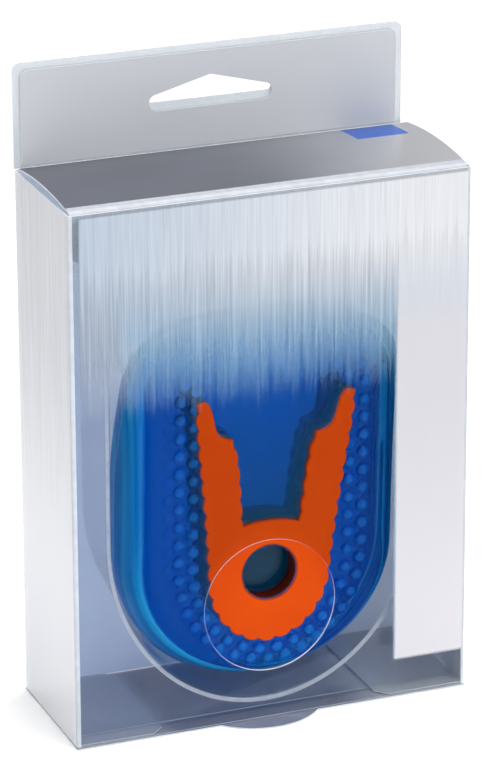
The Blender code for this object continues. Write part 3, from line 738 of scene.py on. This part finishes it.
def make_bottom(panel, cut):
    """Bottom panel with its half-round thumb tab, and two flaps that lie on it."""
    radius = (THUMB_HALF_WIDTH ** 2 + THUMB_REACH ** 2) / (2 * THUMB_REACH)
    half_angle = math.asin(THUMB_HALF_WIDTH / radius)
    centre = (THUMB_X, FRONT_Y - THUMB_REACH + radius)
    tab = arc(centre, radius, -math.pi / 2 - half_angle, -math.pi / 2 + half_angle, THUMB_STEPS)
    half = WIDTH / 2
    outline = [(-half, BACK_Y), (-half, FRONT_Y), *map(tuple, tab), (half, FRONT_Y), (half, BACK_Y)]
    mesh = prism(outline, 0.0, SHEET, False, materials=[panel, cut])
    finish_object("bottom_panel", mesh, "carton", ["carton_bottom"])
    outer = WIDTH / 2 - SHEET - GAP
    inner = outer - FLAP_REACH
    front = FRONT_Y + SHEET + GAP
    back = BACK_Y - SHEET - GAP
    corners = [
        (outer, front), (outer, back), (inner + FLAP_CHAMFER, back), (inner, back - FLAP_CHAMFER),
        (inner, front + FLAP_CHAMFER), (inner + FLAP_CHAMFER, front),
    ]
    for name, side in (("left", -1), ("right", 1)):
        outline = [(side * x, y) for x, y in corners]
        mesh = prism(outline, WALL_FOOT_Z, SHEET, False, materials=[panel, cut])
        finish_object("side_flap_" + name, mesh, "carton", ["bottom_flap_" + name])


def hang_hole_outline(drop):
    """Outline of the hanging hole in X and Z, its lower edge lowered by a drop."""
    base_z = HEIGHT + HANG_BASE - drop
    end_top = HANG_END + drop
    corner = end_top * HANG_END_ROUNDING
    low_steps, end_steps, peak_steps = HANG_STEPS
    lower = arc((HANG_HALF_WIDTH - corner, base_z + corner), corner, -math.pi / 2, 0.0, low_steps)
    slope = math.atan2(HANG_PEAK - HANG_END, HANG_HALF_WIDTH)
    upper = arc((HANG_HALF_WIDTH - corner, base_z + end_top - corner), corner, math.pi / 30,
                math.pi / 2 - slope, end_steps)
    peak_z = base_z + drop + HANG_PEAK - HANG_PEAK_RADIUS
    peak = arc((0.0, peak_z), HANG_PEAK_RADIUS, math.pi / 2 - slope, math.pi / 2, peak_steps)
    half = np.concatenate([lower, upper, peak])
    outline = np.concatenate([half, half[-2::-1] * (-1, 1)])
    outline[:, 0] += HANG_X
    return outline


def make_tab(clear, silver, cut):
    """Two plies of the hang tab, cut through by the hanging hole."""
    half = WIDTH / 2
    top = HEIGHT + TAB_HEIGHT
    plies = (
        ("tab_ply_back", "hang_tab_back", "clear_sheet", clear, BACK_Y - SHEET, 0.0,
         -half, half - TAB_RIGHT_INSET, WALL_TOP_Z + GAP, top),
        ("tab_ply_front", "hang_tab_front", "silver_sheet", silver, FRONT_PLY_Y, FRONT_HANG_DROP,
         -half + FRONT_PLY_INSET, half - TAB_RIGHT_INSET - FRONT_PLY_INSET,
         HEIGHT + SHEET, top - FRONT_PLY_INSET),
    )
    for name, node, slot, finish, y, drop, left, right, foot, head in plies:
        r = TAB_CORNER
        outline = np.concatenate([
            np.array([(left, foot), (right, foot)]),
            arc((right - r, head - r), r, 0.0, math.pi / 2, TAB_CORNER_STEPS),
            arc((left + r, head - r), r, math.pi / 2, math.pi, TAB_CORNER_STEPS),
        ])
        mesh = prism(outline, y, SHEET, True, materials=[finish, cut])
        hole = prism(hang_hole_outline(drop), y - SHEET, 3 * SHEET, True, 0, 0, [cut])
        mesh = settle(mesh, None, [hole])
        finish_object(name, mesh, "carton", [node])


def make_lid(finish, cut, crease):
    """Bowed lid: a parabola from the hinge to the front fold, an arc, then the tuck flap.

    The crease's material, a lighter grey that is partly a painted highlight, starts on the panel's last
    strip and covers the fold.
    """
    panel_steps, fold_steps, flap_steps, cross_steps = LID_STEPS
    half = WIDTH / 2 - LID_SIDE_INSET
    fold_y = FRONT_Y + SHEET + GAP + LID_FOLD_RADIUS
    share = np.linspace(0.0, 1.0, panel_steps + 1)
    top = np.stack([np.full(share.size, half), HINGE_Y + share * (fold_y - HINGE_Y),
                    HEIGHT + 4 * LID_BOW * share * (1 - share)], 1)
    bend = arc((fold_y, HEIGHT - LID_FOLD_RADIUS), LID_FOLD_RADIUS, math.pi / 2,
               math.pi + TUCK_LEAN, fold_steps)[1:]
    fold = np.concatenate([np.full((len(bend), 1), half), bend], 1)
    turn = np.concatenate([[-1.0, -0.5], quarter(flap_steps)])
    along = np.where(turn < 0, (1 + turn) * (TUCK_LENGTH - TUCK_CORNER),
                     TUCK_LENGTH - TUCK_CORNER + TUCK_CORNER * np.sin(np.clip(turn, 0, None)))[1:]
    width = half - GAP - TUCK_CORNER * (1 - np.cos(np.clip(turn, 0, None)))[1:]
    flap = np.stack([width, bend[-1, 0] + along * math.sin(TUCK_LEAN),
                     bend[-1, 1] - along * math.cos(TUCK_LEAN)], 1)
    rows = np.concatenate([top, fold, flap])
    across = np.linspace(1.0, -1.0, cross_steps + 1)
    points = np.empty((len(rows), across.size, 3))
    points[:, :, 0] = rows[:, None, 0] * across[None, :]
    points[:, :, 1] = rows[:, None, 1]
    points[:, :, 2] = rows[:, None, 2]
    index = np.zeros((len(rows) - 1, 1), int)
    index[len(top) - 2:len(top) + len(fold) - 1] = 2
    mesh = skin(points, False, index)
    mesh = settle(mesh, (SHEET, -1.0, 1), (), [finish, cut, crease])
    finish_object("lid_panel", mesh, "lid", ["lid"])


def u_ring(half_width, heel_centre, heel_drop, toe, corner, counts):
    """Closed U outline in X and Z from its lowest point: half ellipse, sides, round toe."""
    heel, side, bend, cap = counts
    turn = np.linspace(-math.pi / 2, 0.0, heel + 1)
    low = np.stack([half_width * np.cos(turn), heel_centre + heel_drop * np.sin(turn)], 1)
    side_z = np.linspace(heel_centre, toe - corner, side + 1)[1:]
    straight = np.stack([np.full(side, half_width), side_z], 1)
    toe_bend = arc((half_width - corner, toe - corner), corner, 0.0, math.pi / 2, bend)[1:]
    share = np.linspace(1.0, 0.0, cap + 1)[1:]
    crown = np.stack([share * (half_width - corner), toe + TOE_CROWN * (1 - share ** 2)], 1)
    right = np.concatenate([low, straight, toe_bend, crown])
    right[0, 0] = 0.0
    right[-1, 0] = 0.0
    return np.concatenate([right, right[-2:0:-1] * (-1, 1)])


def at_depth(outline, depth):
    """Place an outline in X and Z at a depth."""
    y = np.broadcast_to(np.asarray(FRONT_Y + depth, float), outline.shape[:1])
    return np.stack([outline[:, 0], y, outline[:, 1]], 1)


def pocket_ring(depth):
    """The tray's pocket outline at a depth: narrower and higher towards the back."""
    share = (depth - TRAY_FACE_DEPTH) / (TRAY_BACK_DEPTH - TRAY_FACE_DEPTH)
    floor = POCKET_FLOOR_Z + share * POCKET_FLOOR_RISE
    return u_ring(POCKET_HALF_WIDTH - share * POCKET_SIDE_DRAFT, POCKET_CENTRE_Z,
                  POCKET_CENTRE_Z - floor, POCKET_TOP_Z - share * POCKET_SIDE_DRAFT,
                  POCKET_CORNER, POCKET_STEPS)


def make_tray(formed, cut, lip_highlight_film):
    """Thermoformed sheet: rings from the face plate's edge over a round lip into the pocket."""
    half = WIDTH / 2 - SHEET - GAP
    top = WALL_TOP_Z - TRAY_TOP_CLEARANCE
    centre = np.array((0.0, POCKET_CENTRE_Z))
    mouth = pocket_ring(TRAY_FACE_DEPTH)
    aim = mouth - centre
    with np.errstate(divide="ignore"):
        across = half / np.abs(aim[:, 0])
        along = np.where(aim[:, 1] > 0, top - centre[1], centre[1] - TRAY_FOOT_Z) / np.abs(aim[:, 1])
    plate = centre + aim * np.minimum(across, along)[:, None]
    for corner in ((-half, TRAY_FOOT_Z), (half, TRAY_FOOT_Z), (-half, top), (half, top)):
        nearest = np.argmin(np.hypot(plate[:, 0] - corner[0], plate[:, 1] - corner[1]))
        plate[nearest] = corner
    lip = centre + (mouth - centre) * (1 + POCKET_LIP / POCKET_HALF_WIDTH)
    rings = [at_depth(plate + share * (lip - plate), TRAY_FACE_DEPTH) for share in (0.0, 0.5, 1.0)]
    wall_start, wall_end = TRAY_FACE_DEPTH + POCKET_LIP, TRAY_BACK_DEPTH - POCKET_LIP
    first, last = pocket_ring(wall_start), pocket_ring(wall_end)
    for turn in quarter(POCKET_BEND_STEPS)[1:]:
        depth = TRAY_FACE_DEPTH + POCKET_LIP * (1 - math.cos(turn))
        rings.append(at_depth(lip + (first - lip) * math.sin(turn), depth))
    for depth in np.linspace(wall_start, wall_end, POCKET_WALL_STEPS + 1)[1:]:
        rings.append(at_depth(pocket_ring(depth), depth))
    edge = centre + (pocket_ring(TRAY_BACK_DEPTH) - centre) * (1 - POCKET_LIP / POCKET_HALF_WIDTH)
    for turn in quarter(POCKET_BEND_STEPS)[1:]:
        depth = TRAY_BACK_DEPTH - POCKET_LIP * (1 - math.sin(turn))
        rings.append(at_depth(last + (edge - last) * (1 - math.cos(turn)), depth))
    spine = np.stack([np.zeros(len(edge)), np.clip(edge[:, 1], POCKET_CENTRE_Z,
                                                   POCKET_TOP_Z - POCKET_SIDE_DRAFT - POCKET_CORNER)], 1)
    for share in POCKET_FLOOR_SHARES:
        rings.append(at_depth(spine + share * (edge - spine), TRAY_BACK_DEPTH))
    index = np.zeros((len(rings) - 1, 1), int)
    # Painted highlight: a white line along the tray's round lip.
    index[LIP_HIGHLIGHT_CELLS] = 2
    mesh = skin(np.stack(rings), True, index)
    mesh = settle(mesh, (SHEET, 1.0, 1), (), [formed, cut, lip_highlight_film], weld=WELD)
    finish_object("pocket_tray", mesh, "carton", ["inner_tray"])


def eased(z, start, end):
    """Smooth step from 0 at start to 1 at end."""
    share = np.clip((z - start) / (end - start), 0.0, 1.0)
    return share * share * (3 - 2 * share)


def sole_thickness(z):
    """Gel thickness of the sole, thinning towards the toe."""
    return SOLE_THICKNESS + (TOE_THICKNESS - SOLE_THICKNESS) * eased(z, THIN_FROM_Z, TOE_Z)


def rim_height(z):
    """Height of the rim behind the sole's face, falling towards the toe."""
    return CUP_HEIGHT + (TOE_RIM - CUP_HEIGHT) * eased(z, LOW_FROM_Z, TOE_Z)


def walk(path, distances):
    """Points at given distances along a path."""
    run = np.concatenate([[0.0], np.cumsum(np.hypot(*np.diff(path, axis=0).T))])
    return np.stack([np.interp(distances, run, path[:, 0]), np.interp(distances, run, path[:, 1])], 1)


def bump_centres():
    """Centres of the two staggered rows of bumps round the sole."""
    centres = []
    for row, (side_inset, heel_inset) in enumerate(BUMP_ROWS):
        loop = u_ring(SOLE_HALF_WIDTH - side_inset, HEEL_CENTRE_Z, HEEL_DROP - heel_inset,
                      TOE_Z - side_inset, TOE_CORNER - side_inset, BUMP_PATH_STEPS)
        path = loop[: len(loop) // 2 + 1]
        path = path[path[:, 1] <= BUMP_TOP_Z + BUMP_PITCH]
        length = np.hypot(*np.diff(path, axis=0).T).sum()
        points = walk(path, np.arange(BUMP_PITCH / 2 if row else 0.0, length, BUMP_PITCH))
        points = points[points[:, 1] <= BUMP_TOP_Z]
        centres += [tuple(p) for p in points]
        centres += [(-x, z) for x, z in points if x > BUMP_PITCH / 4]
    return np.array(centres)


def lower_ring_edge(margin, steps):
    """Right lower quarter of the pad's ring, from its lowest point to its side."""
    turn = np.linspace(-math.pi / 2, 0.0, steps + 1)
    return np.stack([(RING_HALF_WIDTH + margin) * np.cos(turn), (RING_BOTTOM + margin) * np.sin(turn)], 1)


def rounded(path, rounds):
    """Cut the corners of an open path, which keeps its ends."""
    for _ in range(rounds):
        near = (1 - CORNER_CUT) * path[:-1] + CORNER_CUT * path[1:]
        far = CORNER_CUT * path[:-1] + (1 - CORNER_CUT) * path[1:]
        middle = np.stack([near, far], 1).reshape(-1, 2)
        path = np.concatenate([path[:1], middle[1:-1], path[-1:]])
    return path


def wavy(path, waves, depth, samples):
    """A path pushed to its right by a depth times a power of a cosine along it."""
    run = np.linspace(0.0, 1.0, samples)
    total = np.hypot(*np.diff(path, axis=0).T).sum()
    points = walk(path, run * total)
    slope = np.gradient(points, axis=0)
    slope /= np.hypot(*slope.T)[:, None]
    outwards = np.stack([slope[:, 1], -slope[:, 0]], 1)
    lift = np.abs(np.cos(math.pi * run * waves)) ** SCALLOP_POWER
    return points + outwards * (depth * lift)[:, None]


def pad_outline(margin):
    """Closed pad outline in X and Z, grown by a margin, leaning with its cup."""
    table = np.array(ARM_OUTLINE)
    height = table[:, 0] * ARM_REACH
    outer = np.stack([table[:, 1] * ARM_SPREAD + margin, height], 1)
    inner = np.stack([table[:, 2] * ARM_SPREAD - margin, height + margin], 1)[::-1]
    tip = np.array([(ARM_TIP_SHARE * ARM_SPREAD, ARM_REACH + margin)])
    outer_edge = rounded(np.concatenate([lower_ring_edge(margin, RING_STEPS), outer]), 2)
    base = np.concatenate([lower_ring_edge(0.0, RING_STEPS), outer])
    waves = round(np.hypot(*np.diff(base, axis=0).T).sum() / SCALLOP_PITCH)
    outer_edge = wavy(outer_edge, waves, SCALLOP_DEPTH, SCALLOP_STEPS * waves + 1)
    outer_edge[0, 0] = 0.0
    shoulder = rounded(np.concatenate([outer_edge[-1:], tip, inner[:SHOULDER_END + 1]]), 3)[1:]
    arm = rounded(inner[SHOULDER_END:], 2)
    arm = wavy(arm, INNER_SCALLOPS, INNER_SCALLOP_DEPTH, SCALLOP_STEPS * INNER_SCALLOPS + 1)[1:]
    crotch_x, crotch_z = arm[-1]
    arch_x = np.linspace(crotch_x, 0.0, ARCH_STEPS + 1)
    arch_z = (RING_TOP + margin) * np.sqrt(1 - (arch_x / ARCH_WIDTH) ** 2)
    arch_z[1:] += (crotch_z - arch_z[0]) * np.linspace(1.0, 0.0, ARCH_STEPS) ** 2
    arch = np.stack([arch_x, arch_z], 1)[1:]
    right = np.concatenate([outer_edge, shoulder, arm, arch])
    loop = np.concatenate([right, right[-2:0:-1] * (-1, 1)])
    turn = PAD_LEAN - CUP_LEAN
    turned_loop = loop @ np.array([[math.cos(turn), -math.sin(turn)], [math.sin(turn), math.cos(turn)]])
    return turned_loop + (0.0, PAD_CENTRE_Z)


def within(x, z, loop):
    """Whether points lie inside a closed outline, by counting the edges to their right."""
    after = np.roll(loop, -1, axis=0)
    spans = (loop[None, :, 1] > z[:, None]) != (after[None, :, 1] > z[:, None])
    rise = after[:, 1] - loop[:, 1]
    rise = np.where(np.abs(rise) < NOTHING, NOTHING, rise)
    cross = loop[:, 0] + (z[:, None] - loop[:, 1]) / rise * (after[:, 0] - loop[:, 0])
    return (spans & (x[:, None] < cross)).sum(1) % 2 == 1


def dome_share(points, centres, pad):
    """0 off the bumps and under the pad, rising to 1 at the middle of each bump."""
    x, z = points[:, 0], points[:, 2]
    gap = np.hypot(x[:, None] - centres[None, :, 0], z[:, None] - centres[None, :, 1]).min(1)
    return np.where(within(x, z, pad), 0.0, np.clip(1 - (gap / BUMP_RADIUS) ** 2, 0.0, 1.0))


def panel_share(points):
    """1 on the sunk panel between the pad's arms, 0 off it."""
    x, z = points[:, 0], points[:, 2]
    sides = 1 - eased(np.abs(x), *PANEL_SIDE)
    return sides * eased(z, *PANEL_FOOT) * (1 - eased(z, *PANEL_HEAD))


def make_cup(name, node, face_depth, side_flare, heel_flare, counts, gel):
    """A gel heel cup as rings: sole face, round edge, wall, rim, inner wall and floor.

    The sole's face grows from a spine to the edge. The wall opens by the flare
    times a power of its height, a quick one at the sides, and the rim and the
    sole's thickness ease towards the toe.
    """
    def outline(height, inset):
        return u_ring(SOLE_HALF_WIDTH + height ** SIDE_FLARE_POWER * side_flare - inset, HEEL_CENTRE_Z,
                      HEEL_DROP + height ** HEEL_FLARE_POWER * heel_flare - inset, TOE_Z - inset,
                      TOE_CORNER - inset, counts)

    def spine_of(edge):
        z = np.clip(edge[:, 1], HEEL_CENTRE_Z, TOE_Z - TOE_CORNER)
        return np.stack([np.zeros(len(edge)), z], 1)

    def inner_height(share):
        low = SOLE_THICKNESS + FLOOR_FILLET
        top = CUP_HEIGHT - RIM_EDGE
        return (low + share * (top - low) - SOLE_EDGE) / (top - SOLE_EDGE)

    centres, pad = bump_centres(), pad_outline(0.0)
    rings, domes, panels = [], [], []
    edge = outline(0.0, SOLE_EDGE)
    spine = spine_of(edge)
    for share in np.linspace(0.0, 1.0, counts[1] * 2 // 3 + 1):
        ring = at_depth(spine + share * (edge - spine), face_depth)
        domes.append(dome_share(ring, centres, pad))
        sunk = panel_share(ring)
        # The panel mark, faded out towards the toe, places painted shade on the sunk panel.
        panels.append(sunk * (1 - eased(ring[:, 2], PAD_CENTRE_Z, TOE_Z)))
        ring[:, 1] -= BUMP_HEIGHT * domes[-1] ** DOME_POWER - PANEL_RECESS * sunk
        rings.append(ring)
    for turn in quarter(EDGE_STEPS)[1:]:
        inset = SOLE_EDGE * (1 - math.sin(turn))
        rings.append(at_depth(outline(0.0, inset), face_depth + SOLE_EDGE * (1 - math.cos(turn))))
    wall_rows = [len(rings)]
    for share in np.linspace(0.0, 1.0, CUP_WALL_STEPS + 1)[1:] ** CUP_WALL_CROWDING:
        ring = outline(share, 0.0)
        top = rim_height(ring[:, 1]) - RIM_EDGE
        rings.append(at_depth(ring, face_depth + SOLE_EDGE + share * (top - SOLE_EDGE)))
    outer_bend = [(RIM_EDGE, turn) for turn in np.linspace(math.pi, math.pi / 2, RIM_STEPS + 1)[1:]]
    inner_bend = [(WALL - RIM_EDGE, turn) for turn in np.linspace(math.pi / 2, 0.0, RIM_STEPS + 1)]
    for middle, turn in outer_bend + inner_bend:
        ring = outline(1.0, middle + RIM_EDGE * math.cos(turn))
        top = rim_height(ring[:, 1]) - RIM_EDGE
        rings.append(at_depth(ring, face_depth + top + RIM_EDGE * math.sin(turn)))
    for share in np.linspace(1.0, 0.0, INSIDE_STEPS + 1)[1:]:
        ring = outline(inner_height(share), WALL)
        top = rim_height(ring[:, 1]) - RIM_EDGE
        base = sole_thickness(ring[:, 1])
        base = base + np.minimum(FLOOR_FILLET, FILLET_SHARE * (top - base))
        rings.append(at_depth(ring, face_depth + base + share * (top - base)))
    wall_rows.append(len(rings))
    for turn in quarter(FILLET_STEPS)[1:]:
        ring = outline(inner_height(0.0), WALL + FLOOR_FILLET * (1 - math.cos(turn)))
        top = rim_height(ring[:, 1]) - RIM_EDGE
        base = sole_thickness(ring[:, 1])
        lift = np.minimum(FLOOR_FILLET, FILLET_SHARE * (top - base))
        rings.append(at_depth(ring, face_depth + base + lift * (1 - math.sin(turn))))
    edge = outline(inner_height(0.0), WALL + FLOOR_FILLET)
    spine = spine_of(edge)
    for share in np.linspace(1.0, 0.0, INSIDE_STEPS + 1)[1:]:
        ring = spine + share * (edge - spine)
        rings.append(at_depth(ring, face_depth + sole_thickness(ring[:, 1])))
    mesh = skin(np.stack(rings), True)
    marks = np.zeros((3, len(rings), len(edge)), np.float32)
    marks[0, :len(domes)] = domes
    marks[1, wall_rows[0]:wall_rows[1]] = 1.0
    marks[2, :len(panels)] = panels
    for mark, shares in zip(("dome", "wall", "panel"), marks):
        mesh.attributes.new(mark, "FLOAT", "POINT").data.foreach_set("value", shares.ravel())
    face_y = FRONT_Y + face_depth
    hole = turned([(RING_HOLE_RADIUS + SOAK, face_y - 2 * CUT_REACH),
                   (RING_HOLE_RADIUS + SOAK, face_y + PAD_RECESS)], 0.0, PAD_CENTRE_Z, RING_SIDES, gel)
    mesh = settle(mesh, None, [hole], [gel], weld=WELD)
    mesh.transform(lean())
    finish_object(name, mesh, "carton", [node], 75.0)


def lean():
    """Turn clockwise, seen from the front, about the ring's centre."""
    pivot = Matrix.Translation((0.0, 0.0, PAD_CENTRE_Z))
    return pivot @ Matrix.Rotation(CUP_LEAN, 4, "Y") @ pivot.inverted()


def make_pad(name, node, face_depth, orange):
    """A shock pad: its scalloped outline with a rounded front edge, and a flared round hole."""
    front_y = FRONT_Y + face_depth - PAD_PROUD
    back_y = front_y + PAD_RECESS + PAD_PROUD - GAP
    rings = []
    for turn in quarter(PAD_EDGE_STEPS):
        loop = pad_outline(-PAD_EDGE * (1 - math.sin(turn)))
        y = front_y + PAD_EDGE * (1 - math.cos(turn))
        rings.append(np.stack([loop[:, 0], np.full(len(loop), y), loop[:, 1]], 1))
    loop = pad_outline(0.0)
    rings.append(np.stack([loop[:, 0], np.full(len(loop), back_y), loop[:, 1]], 1))
    mesh = skin(np.stack(rings), True)
    close_ends(mesh, len(rings), len(loop))
    profile = [(RING_HOLE_RADIUS + RING_LIP, front_y - CUT_REACH)]
    profile += [(RING_HOLE_RADIUS + RING_LIP * (1 - math.sin(t)), front_y + RING_LIP * (1 - math.cos(t)))
                for t in quarter(LIP_STEPS)]
    profile.append((RING_HOLE_RADIUS, back_y + CUT_REACH))
    hole = turned(profile, 0.0, PAD_CENTRE_Z, RING_SIDES, orange)
    mesh = settle(mesh, None, [hole], [orange])
    mesh.transform(lean())
    finish_object(name, mesh, "carton", [node], 40.0)


def place_camera():
    """The camera at the photograph's viewing angle."""
    el, az, roll = CAMERA_ELEVATION, CAMERA_AZIMUTH, CAMERA_ROLL
    back = Vector((math.sin(az) * math.cos(el), -math.cos(az) * math.cos(el), math.sin(el)))
    right = Vector((math.cos(az), math.sin(az), 0.0))
    up = back.cross(right)
    side = right * math.cos(roll) + up * math.sin(roll)
    top = up * math.cos(roll) - right * math.sin(roll)
    turn = Matrix((side, top, back)).transposed().to_4x4()
    turn.translation = CAMERA_PLACE
    data = bpy.data.cameras.new("camera")
    data.lens = CAMERA_LENS
    data.sensor_width = 36.0
    data.clip_end = 20.0
    camera = new_object("camera", data)
    camera.matrix_world = turn
    bpy.context.scene.camera = camera


def area_light(name, place, size, power, aim=(0, 0, 0.07)):
    """A soft white rectangular lamp aimed at a point."""
    data = bpy.data.lights.new(name, "AREA")
    data.shape = "RECTANGLE"
    data.size, data.size_y = size
    data.energy = power
    lamp = new_object(name, data)
    lamp.location = place
    lamp.rotation_euler = (Vector(aim) - Vector(place)).to_track_quat("-Z", "Y").to_euler()


def make_stage():
    """Pale floor, plain soft world and lamps."""
    mesh = bpy.data.meshes.new("floor")
    half = 6.0
    mesh.from_pydata([(-half, -half, 0), (half, -half, 0), (half, half, 0), (-half, half, 0)], [],
                     [(0, 1, 2, 3)])
    mesh.materials.append(floor_material())
    new_object("floor", mesh)
    world = bpy.data.worlds.new("studio")
    bpy.context.scene.world = world
    world.use_nodes = True
    tree = world.node_tree
    tree.nodes.clear()
    output = add(tree, "OutputWorld")
    coords = add(tree, "TexCoord").outputs["Generated"]
    split = add(tree, "SeparateXYZ", links={0: coords})
    level = add(tree, "MapRange", values={"From Min": -0.5, "From Max": 0.7, "To Min": 0.30, "To Max": 0.75},
                links={"Value": split.outputs[0]})
    sky = add(tree, "Background", links={"Strength": level.outputs[0]})
    tree.links.new(sky.outputs[0], output.inputs["Surface"])
    area_light("top_softbox", (0.1, -0.1, 1.1), (1.2, 1.0), 14.0)
    area_light("front_softbox", (0.5, -1.3, 0.7), (1.0, 0.8), 6.5)
    area_light("left_softbox", (-1.1, -0.2, 0.6), (0.8, 0.8), 6.0)
    area_light("right_softbox", (1.2, 0.7, 0.45), (0.8, 0.8), 7.0, (0, 0, 0.04))
    bpy.context.scene.view_settings.view_transform = "Standard"
    bpy.context.scene.cycles.transparent_max_bounces = 32


def build():
    """Make every piece."""
    front = sheet_material("front_film", paint_front, 0.0, "f5f6f8")
    left = sheet_material("left_film", paint_side)
    right = sheet_material("right_film", paint_side)
    back = sheet_material("back_film", paint_back, 0.03, "e8f0fa", 0.0)
    panel = sheet_material("bottom_film", paint_bottom, 0.15, metallic=0.2)
    tab_clear = sheet_material("tab_back_film", paint_even(0.50, "c4c8cc", "d8dbdf"))
    formed = sheet_material("formed_film", paint_even(0.02, "c6ced9", "d8dfe8"), 0.02, "fcfdff")
    # Fold and lid-bend colours: partly whitened sheet, partly painted highlight.
    fold = edge_material("fold_film", 0.55)
    bend = edge_material("lid_fold", 1.0, "b4b7be", "989ca4")
    cut = edge_material("cut_edge", 0.75)
    # Painted highlight along the tray's lip, in white.
    lip_highlight_film = edge_material("tray_lip_highlight", 0.45, "ffffff")
    gel = gel_material()
    orange = pad_material()
    make_walls(front, left, right, back, fold, cut)
    make_bottom(panel, cut)
    make_tab(tab_clear, tab_material(), cut)
    make_lid(lid_material(), cut, bend)
    make_tray(formed, cut, lip_highlight_film)
    make_cup("gel_cup_front", "heel_cup_front", CUP_FACE_DEPTH, FRONT_SIDE_FLARE, FRONT_HEEL_FLARE,
             FRONT_CUP_STEPS, gel)
    make_cup("gel_cup_rear", "heel_cup_rear", REAR_CUP_DEPTH, REAR_SIDE_FLARE, REAR_HEEL_FLARE,
             REAR_CUP_STEPS, gel)
    make_pad("pad_front", "shock_pad_front", CUP_FACE_DEPTH, orange)
    make_pad("pad_rear", "shock_pad_rear", REAR_CUP_DEPTH, orange)
    place_camera()
    make_stage()


build()
